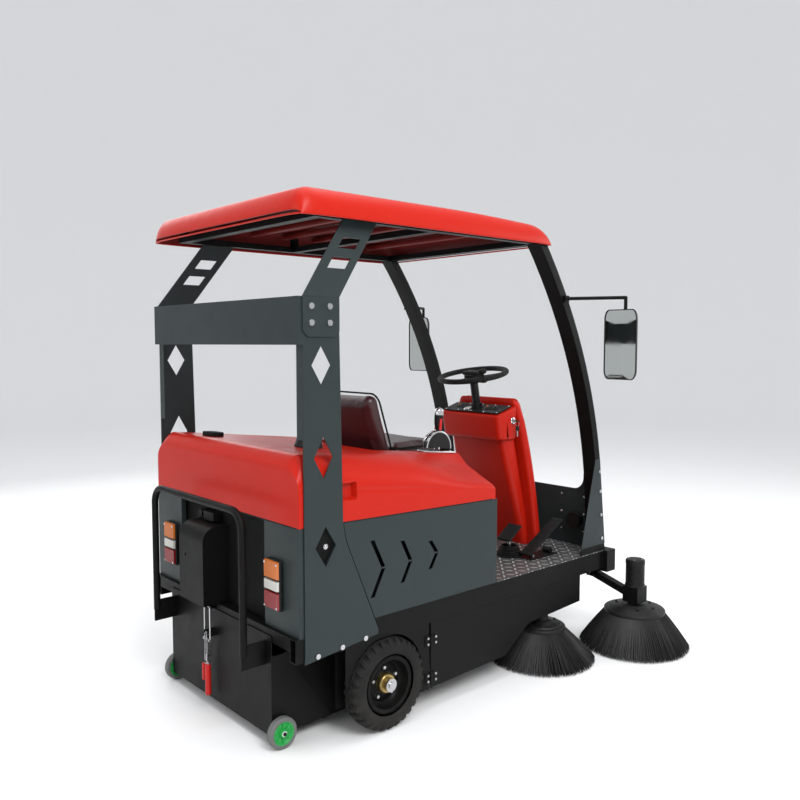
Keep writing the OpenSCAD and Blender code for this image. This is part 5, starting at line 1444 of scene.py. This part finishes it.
# %% Tail lamps
def tail_lamps():
    low, high, _ = box_of("tail_lamps")
    out, half = high[0], 0.048
    middle = out - half
    parts = []
    for side in (right, left):
        x = middle * side
        tray = block((x - half, low[1] + 0.0005, low[2]), (x + half, low[1] + 0.016, high[2]), 0.004)
        parts.append((*tray, 0))
        height, shares = high[2] - low[2], (0, 0.38, 0.61, 1)
        for k, number in enumerate((3, 2, 1)):
            z0, z1 = low[2] + shares[k] * height + 0.004, low[2] + shares[k + 1] * height - 0.002
            u, v = np.meshgrid(np.linspace(-1, 1, 65), np.linspace(-1, 1, 25), indexing="ij")
            edge = 1 - np.maximum(np.abs(u) ** 10, np.abs(v) ** 10)
            dome = 0.012 * np.clip(edge * 3, 0, 1) ** 0.5
            ribs = 0.0007 * np.cos(u * 26 * np.pi / 2) * (edge > 0.1)
            depth = 0.013 + dome + ribs
            lens = np.stack([x + u * (half - 0.004), low[1] + depth,
                             (z0 + z1) / 2 + v * (z1 - z0) / 2], -1)
            parts.append((*quads(lens), number))
        for z in (low[2] + 0.012, high[2] - 0.012):
            for dx in (-0.038, 0.038):
                parts.append((*screw_head((x + dx, low[1] + 0.0262, z), 0.0042, "y"), 4))
    piece("tail_lamps_look", parts, "machine",
          [black_plastic, amber_lens, clear_lens, red_lens, zinc], replaces=["tail_lamps"])


tail_lamps()

# %% [markdown]
# ## Latch and castors
# The latch that holds the hopper is a toggle clamp: zinc cheeks, a U-hook and two red grips.
# The castors are a grey tyre on a green hub.

# %% Latch
def latch():
    pivot = joint_place("latch_swing")
    parts = []
    for x in (-0.0080, 0.0080):
        profile_z = np.linspace(-0.120, 0.008, 22)
        wide = 0.0085 + 0.001 * np.sin(profile_z * 40)
        wide[0] = wide[-1] = 0.003
        wide[1] = wide[-2] = 0.0070
        for dx in (-0.0019, 0.0019):
            grid = np.stack([np.full((22, 2), x + dx), pivot[1] + wide[:, None] * np.array([-1, 1]),
                             pivot[2] + profile_z[:, None] + np.zeros(2)], -1)
            parts.append((*quads(grid), 0))
        edge = np.stack([np.full(22, x), pivot[1] - wide, pivot[2] + profile_z], -1)
        other = edge.copy()
        other[:, 1] = 2 * pivot[1] - edge[:, 1]
        loop = np.concatenate([edge, other[::-1]])
        grid = np.stack([loop + [-0.0019, 0, 0], loop + [0.0019, 0, 0]])
        parts.append((*quads(grid, close_v=True), 0))
    parts = [(points + [pivot[0], 0, 0], faces, n) for points, faces, n in parts]
    top_pin = [(0, -0.016), (0.004, -0.016), (0.004, 0.016), (0, 0.016)]
    low_pin = [(0, -0.0268), (0.0035, -0.0268), (0.0035, 0.0268), (0, 0.0268)]
    parts.append((*turned(top_pin, pivot, count=20), 0))
    parts.append((*turned(low_pin, pivot + [0, 0, -0.025], count=20), 0))
    parts.append((*block(pivot + [-0.0085, -0.003, -0.131], pivot + [0.0085, 0.003, -0.090], 0.0015), 0))
    grip = [(0, -0.2548), (0.010, -0.2548), (0.0128, -0.250), (0.0128, -0.242), (0.0115, -0.236),
            (0.0122, -0.222), (0.0115, -0.208), (0.0122, -0.194), (0.0115, -0.180), (0.0122, -0.166),
            (0.0110, -0.150), (0.0125, -0.136), (0.0105, -0.129), (0, -0.129)]
    parts.append((*turned(grip, pivot, "z", 28), 1))
    small = [(0, -0.199), (0.0065, -0.199), (0.0078, -0.195), (0.0078, -0.134), (0.0060, -0.129),
             (0, -0.129)]
    parts.append((*turned(small, pivot + [0.026, 0.004, 0], "z", 20), 1))
    parts.append((*block(pivot + [0, -0.002, -0.134], pivot + [0.028, 0.004, -0.126], 0.0015), 0))
    piece("latch_look", parts, "latch", [zinc, grip_red], replaces=["latch_handle"])


def castors():
    for side_name, _ in SIDES:
        low, high, centre = box_of("castor_" + side_name)
        radius = (high[2] - low[2]) / 2
        face = (high[0] - low[0]) / 2
        tyre_part = [(radius - 0.016, -0.0135), (radius - 0.006, -0.0150), (radius - 0.001, -0.011),
                     (radius, -0.004), (radius, 0.004), (radius - 0.001, 0.011),
                     (radius - 0.006, 0.0150), (radius - 0.016, 0.0135)]
        parts = [(*turned(tyre_part, (0, 0, 0), count=64), 0)]
        hub = [(radius - 0.015, -0.0135), (radius - 0.018, -0.0125), (radius - 0.024, -0.006),
               (0.018, -0.006), (0.014, -face + 0.001), (0.0065, -face + 0.001)]
        rear = [(r, -s) for r, s in hub]
        parts += [(*turned(hub, (0, 0, 0), count=48), 1), (*turned(rear, (0, 0, 0), count=48), 1)]
        for k in range(8):
            t = 2 * np.pi * k / 8
            spoke = block((-0.0105, -0.0025, 0.016), (0.0105, 0.0025, radius - 0.017), 0.001, 1)
            turn = placed_at((0, 0, 0), turn_x=math.degrees(t))
            parts.append((*moved(spoke, turn), 1))
        cap = [(0.0105, face - 0.003), (0.0105, face - 0.0005), (0.0065, face)]
        for s in (1, -1):
            parts.append((*turned([(r, h * s) for r, h in cap], (0, 0, 0), count=28), 2))
        parts = [(points + centre, faces, number) for points, faces, number in parts]
        piece("castor_look_" + side_name, parts, "castor_wheel_" + side_name,
              [castor_grey, castor_green, white_plastic], replaces=["castor_" + side_name])


latch()
castors()

# %% [markdown]
# ## Mirrors
# A mirror head is a black shell with soft corners and a lip; the glass lies in the lip and is
# very slightly domed, so that it shows a wide, smooth reflection.

# %% Mirrors
def mirrors():
    for side_name, _ in SIDES:
        low, high, _ = box_of("mirror_" + side_name)
        head_low = np.array([low[0], high[1] - 0.026, low[2]])
        head_high = np.array([high[0], high[1], high[2]])
        middle = (head_low + head_high) / 2
        half_x, half_z = (head_high[0] - head_low[0]) / 2, (head_high[2] - head_low[2]) / 2
        ring = rounded_ring(1.0, -1.0, 1.0, 0.28, 10)
        rows, depth = [], head_high[1] - head_low[1]
        for share, y in ((0.60, 0.0), (0.86, 0.004), (0.965, 0.012), (1.0, depth - 0.004),
                         (0.995, depth), (0.955, depth), (0.945, depth - 0.003)):
            inset = 1 - share
            rows.append(np.stack([middle[0] + ring[:, 0] * (half_x - inset * half_x),
                                  0 * ring[:, 0] + head_low[1] + y,
                                  middle[2] + ring[:, 1] * (half_z - inset * half_x)], -1))
        back_centre = np.broadcast_to(rows[0].mean(0), rows[0].shape)[None]
        shell = quads(np.concatenate([back_centre, rows]), close_v=True)
        parts = [(*shell, 0)]
        glass_rows = []
        for share in np.linspace(1, 0, 10):
            r = rows[-1].copy()
            r[:, 0] = middle[0] + (r[:, 0] - middle[0]) * share
            r[:, 2] = middle[2] + (r[:, 2] - middle[2]) * share
            r[:, 1] = head_high[1] - 0.0032 + 0.0012 * (1 - share ** 2)
            glass_rows.append(r)
        parts.append((*quads(np.array(glass_rows), close_v=True), 1))
        socket_x, socket_y = (low[0] + high[0]) / 2, low[1] + 0.018
        z1 = high[2] - 0.024
        tube_part = [(0.0084, z1 - 0.030), (0.0165, z1 - 0.030), (0.0175, z1 - 0.027),
                     (0.0175, z1 - 0.003), (0.0160, z1), (0.0084, z1)]
        parts.append((*turned(tube_part, (socket_x, socket_y, 0), "z", 32), 0))
        piece("mirror_look_" + side_name, parts, "mirror_head_" + side_name,
              [black_plastic, mirror_glass], replaces=["mirror_" + side_name], smooth_angle=50)


mirrors()

# %% [markdown]
# ## Pedals
# The accelerator is a long rubber treadle with cross ribs on a zinc linkage; the brake is a
# pad on an arm that comes up through a corrugated boot.

# %% Pedals
def pedals():
    hinge_at = joint_place("accelerator_press")
    lay = placed_at(hinge_at, turn_x=-28)
    parts = [(*block((-0.033, -0.284, 0.001), (0.033, 0.011, 0.011), 0.004), 0)]
    for y in np.linspace(-0.268, -0.020, 22):
        parts.append((*block((-0.029, y - 0.0028, 0.0095), (0.029, y + 0.0028, 0.0128), 0.0012, 2), 0))
    parts = [(*moved((points, faces), lay), number) for points, faces, number in parts]
    pin = turned([(0, -0.044), (0.005, -0.044), (0.005, 0.044), (0, 0.044)], hinge_at, count=20)
    parts.append((*pin, 1))
    piece("accelerator_look", parts, "accelerator", [soft_black, zinc], replaces=["accelerator_pedal"])
    brake_at = joint_place("brake_press")
    arm = turned([(0, -0.004), (0.009, -0.004), (0.009, 0.092), (0, 0.092)], brake_at, "z", 20)
    parts = [(*arm, 1)]
    pin = turned([(0, -0.020), (0.005, -0.020), (0.005, 0.020), (0, 0.020)], brake_at, count=20)
    parts.append((*pin, 1))
    lay = placed_at(brake_at + [0, 0, 0.096], turn_x=-35)
    pad = [(*block((-0.042, -0.056, -0.0055), (0.042, 0.056, 0.0060), 0.006), 0)]
    for y in np.linspace(-0.046, 0.046, 9):
        pad.append((*block((-0.037, y - 0.0022, 0.004), (0.037, y + 0.0022, 0.0075), 0.001, 2), 0))
    parts += [(*moved((points, faces), lay), number) for points, faces, number in pad]
    piece("brake_look", parts, "brake", [soft_black, zinc], replaces=["brake_pedal"])
    folds = [(0.066, 0.0)]
    for k in range(5):
        wide, low = 0.068 - 0.0062 * k, 0.010 * k
        folds += [(wide - 0.007, low), (wide, low + 0.003), (wide, low + 0.006),
                  (wide - 0.008, low + 0.009)]
    folds += [(0.036, 0.050), (0.034, 0.040)]
    boot = turned(folds, (brake_at[0], brake_at[1], DECK_Z + 0.0005), "z", 48)
    piece("brake_boot", [(*boot, 0)], "machine", [soft_black], smooth_angle=60)


pedals()

# %% [markdown]
# ## Screws, painted-shade plates and motor ribs
# The small hardware is what makes sheet metal believable: four screws in each door hinge,
# screws along the front sheet, a bolt on a black plate that paints the shade behind the lowest
# opening of each leg, and the ribbed body of the motors over the side brushes.

# %% Door screws and front sheet screws
def small_screws():
    skin = box_of("fender_skirts")[1][0]
    machine, doors = [], {"right": [], "left": []}
    for side_name, side in SIDES:
        for z in (0.138, 0.293):
            for dz in (-0.012, 0.012):
                fixed = (side * (skin - 0.0001), axle_y - 0.215, z + dz)
                machine.append((*bolt(fixed, 0.0052, 0.0028, sign=side), 0))
                moving = (side * (skin - 0.0001), axle_y - 0.258, z + dz)
                doors[side_name].append((*bolt(moving, 0.0052, 0.0028, sign=side), 0))
    sheet_y = box_of("front_panel")[1][1]
    for x in (-0.44, -0.30, 0.30, 0.44):
        for z in (0.53, 0.62, 0.71):
            machine.append((*bolt((x, sheet_y - 0.0002, z), 0.0062, 0.0035, "y", sign=1), 0))
    piece("sheet_screws", machine, "machine", [zinc])
    for side_name, side in SIDES:
        piece("door_screws_" + side_name, doors[side_name], "door_" + side_name, [zinc])


small_screws()

# %% Black plates that paint the shade behind the lowest openings of the legs
def leg_plates():
    skin = box_of("body_panels")[1][0]
    parts = []
    for side in (right, left):
        x = sorted((side * (skin - 0.006), side * (skin - 0.008)))
        # the black plate paints the shade inside the opening; the bolt on it is a real part
        parts.append((*block((x[0], axle_y + 0.236, 0.684), (x[1], axle_y + 0.346, 0.852), 0.001), 0))
        parts.append((*bolt((side * (skin - 0.006), axle_y + 0.284, 0.766), 0.010, 0.005,
                            sign=side), 1))
    piece("leg_plates", parts, "machine", [black_wall_and_painted_shade, zinc])


leg_plates()

# %% Gusset faces
def gusset_faces():
    """A slate face on each gusset: the same tapered outline, 0.6 mm thick, held by the bolts."""
    out = box_of("front_pillars")[1][0]
    outline = np.array([(-1.4585, 0.4895), (-1.2600, 0.4895), (-1.3675, 0.9235), (-1.4045, 0.9235)])
    parts = []
    for side in (right, left):
        rows = [np.stack([side * (out + x) + 0 * outline[:, 0], outline[:, 0] + axle_y,
                          outline[:, 1]], -1) for x in (0.0001, 0.0007)]
        parts.append((*loft(rows), 0))
    piece("gusset_faces", parts, "machine", [slate_paint])


gusset_faces()

# %% Painted shadow lines beside the legs
def leg_painted_shadow_lines():
    """A dark round line, 3 mm thick, along the front edge of each leg's lower part: a painted shadow of
    the leg's edge on the panel.
    """
    skin = box_of("body_panels")[1][0]
    parts = []
    for side in (right, left):
        path = np.array([(0.044, 0.412), (0.120, 0.592), (0.197, 0.773), (0.2095, 0.838)])
        line = np.stack([side * (skin + 0.0012) + 0 * path[:, 0], axle_y + path[:, 0] - 0.0016,
                         path[:, 1]], -1)
        # the black tube paints the shadow that the leg's edge casts on the panel; it is not a real seal
        parts.append((*tube(line, 0.0018, (1, 0, 0), 8), 0))
    piece("leg_beads", parts, "machine", [black_wall_and_painted_shade])


leg_painted_shadow_lines()

# %% Motor ribs
def motor_ribs():
    """Profile (radius, height): a foot flange, then ribs as a square wave, then a domed cap."""
    for side_name, _ in SIDES:
        centre = box_of("side_brush_front_" + side_name)[2]
        top = box_of("brush_arm_" + side_name)[1][2]
        foot = top - 0.134
        profile = [(0.0425, foot), (0.0485, foot), (0.0485, foot + 0.009), (0.0440, foot + 0.010)]
        for z in np.arange(foot + 0.014, top - 0.030, 0.0085):
            profile += [(0.0437, z), (0.0460, z + 0.001), (0.0460, z + 0.004), (0.0437, z + 0.005)]
        profile += [(0.0437, top - 0.024), (0.0470, top - 0.023), (0.0470, top - 0.006),
                    (0.0440, top - 0.0005), (0.030, top + 0.0012), (0, top + 0.0015)]
        parts = [(*turned(profile, (centre[0], centre[1], 0), "z", 48), 0)]
        for t in np.arange(4) * np.pi / 2 + 0.4:
            spot = (centre[0] + 0.034 * np.cos(t), centre[1] + 0.034 * np.sin(t), top + 0.0008)
            parts.append((*bolt(spot, 0.0045, 0.0030, "z", domed=False), 1))
        piece("motor_ribs_" + side_name, parts, "arm_" + side_name, [black_plastic, zinc])


motor_ribs()

# %% [markdown]
# ## Floor, light and camera
# A pale floor that curves up behind the machine, large soft lights and a camera at the height
# of a standing person, behind the machine on the driver's right.

# %% Floor and backdrop
def studio():
    """A floor sheet that rises smoothly into a wall far away, seen from any side."""
    flat, curve, gap_below = 12, 8, 0.0006    # metres: flat floor, radius of the rise, air gap
    bend = np.linspace(0, np.pi / 2, 16)[1:]
    wall = flat + curve
    radius = np.concatenate([np.linspace(0, flat, 12), flat + curve * np.sin(bend), [wall, wall]])
    height = np.concatenate([np.zeros(12), curve * (1 - np.cos(bend)), [12, 18]]) - gap_below
    profile = np.stack([radius, height], -1)
    ground = bpy.data.meshes.new("floor")
    points, faces = turned(profile, (0, 0, 0), "z", 96)
    ground.from_pydata(points.tolist(), [], faces.tolist())
    ground.shade_smooth()
    pale = bpy.data.materials.new("pale floor")
    pale.use_nodes = True
    shader = pale.node_tree.nodes["Principled BSDF"]
    shader.inputs["Base Color"].default_value = (0.92, 0.92, 0.92, 1)
    shader.inputs["Roughness"].default_value = 0.75
    shader.inputs["Specular IOR Level"].default_value = 0.2
    ground.materials.append(pale)
    made = bpy.data.objects.new("floor", ground)
    bpy.context.scene.collection.objects.link(made)


def lamp(name, place, aim, size, power, colour=(1, 1, 1)):
    light = bpy.data.lights.new(name, "AREA")
    light.shape, light.size, light.size_y = "RECTANGLE", size[0], size[1]
    light.energy, light.color = power, colour
    made = bpy.data.objects.new(name, light)
    made.location = place
    made.rotation_euler = (Vector(aim) - Vector(place)).to_track_quat("-Z", "Y").to_euler()
    bpy.context.scene.collection.objects.link(made)


studio()
middle = (0, 0, 1.0)
lamp("key", (-4.8, 1.6, 4.8), middle, (2.6, 2.6), 250)
lamp("rear fill", (0.5, 5.5, 3.4), middle, (4.0, 2.5), 50)
lamp("front fill", (-2.5, -5.0, 2.6), middle, (3.5, 2.5), 50)
lamp("left fill", (5.0, -0.5, 3.2), middle, (3.5, 3.0), 60)
lamp("top", (0, 0, 6.0), (0, 0, 0), (5.0, 5.0), 150)
bpy.context.scene.view_settings.view_transform = "Standard"
world = bpy.data.worlds.new("studio")
bpy.context.scene.world = world
world.use_nodes = True
world.node_tree.nodes["Background"].inputs["Color"].default_value = (0.95, 0.97, 1.0, 1)
world.node_tree.nodes["Background"].inputs["Strength"].default_value = 0.78

# %% Camera
def camera():
    """Height 1.5 m, looking along the machine's right rear diagonal and 4 degrees down."""
    lens = bpy.data.cameras.new("camera")
    lens.sensor_width, lens.lens = 36, 36.18
    made = bpy.data.objects.new("camera", lens)
    made.location = (-2.866, axle_y + 1.980, 1.499)
    down = math.radians(4.05)
    ahead = Vector((0.748, -0.664, 0)).normalized() * math.cos(down) + Vector((0, 0, -math.sin(down)))
    made.rotation_euler = ahead.to_track_quat("-Z", "Y").to_euler()
    bpy.context.scene.collection.objects.link(made)
    bpy.context.scene.camera = made


camera()
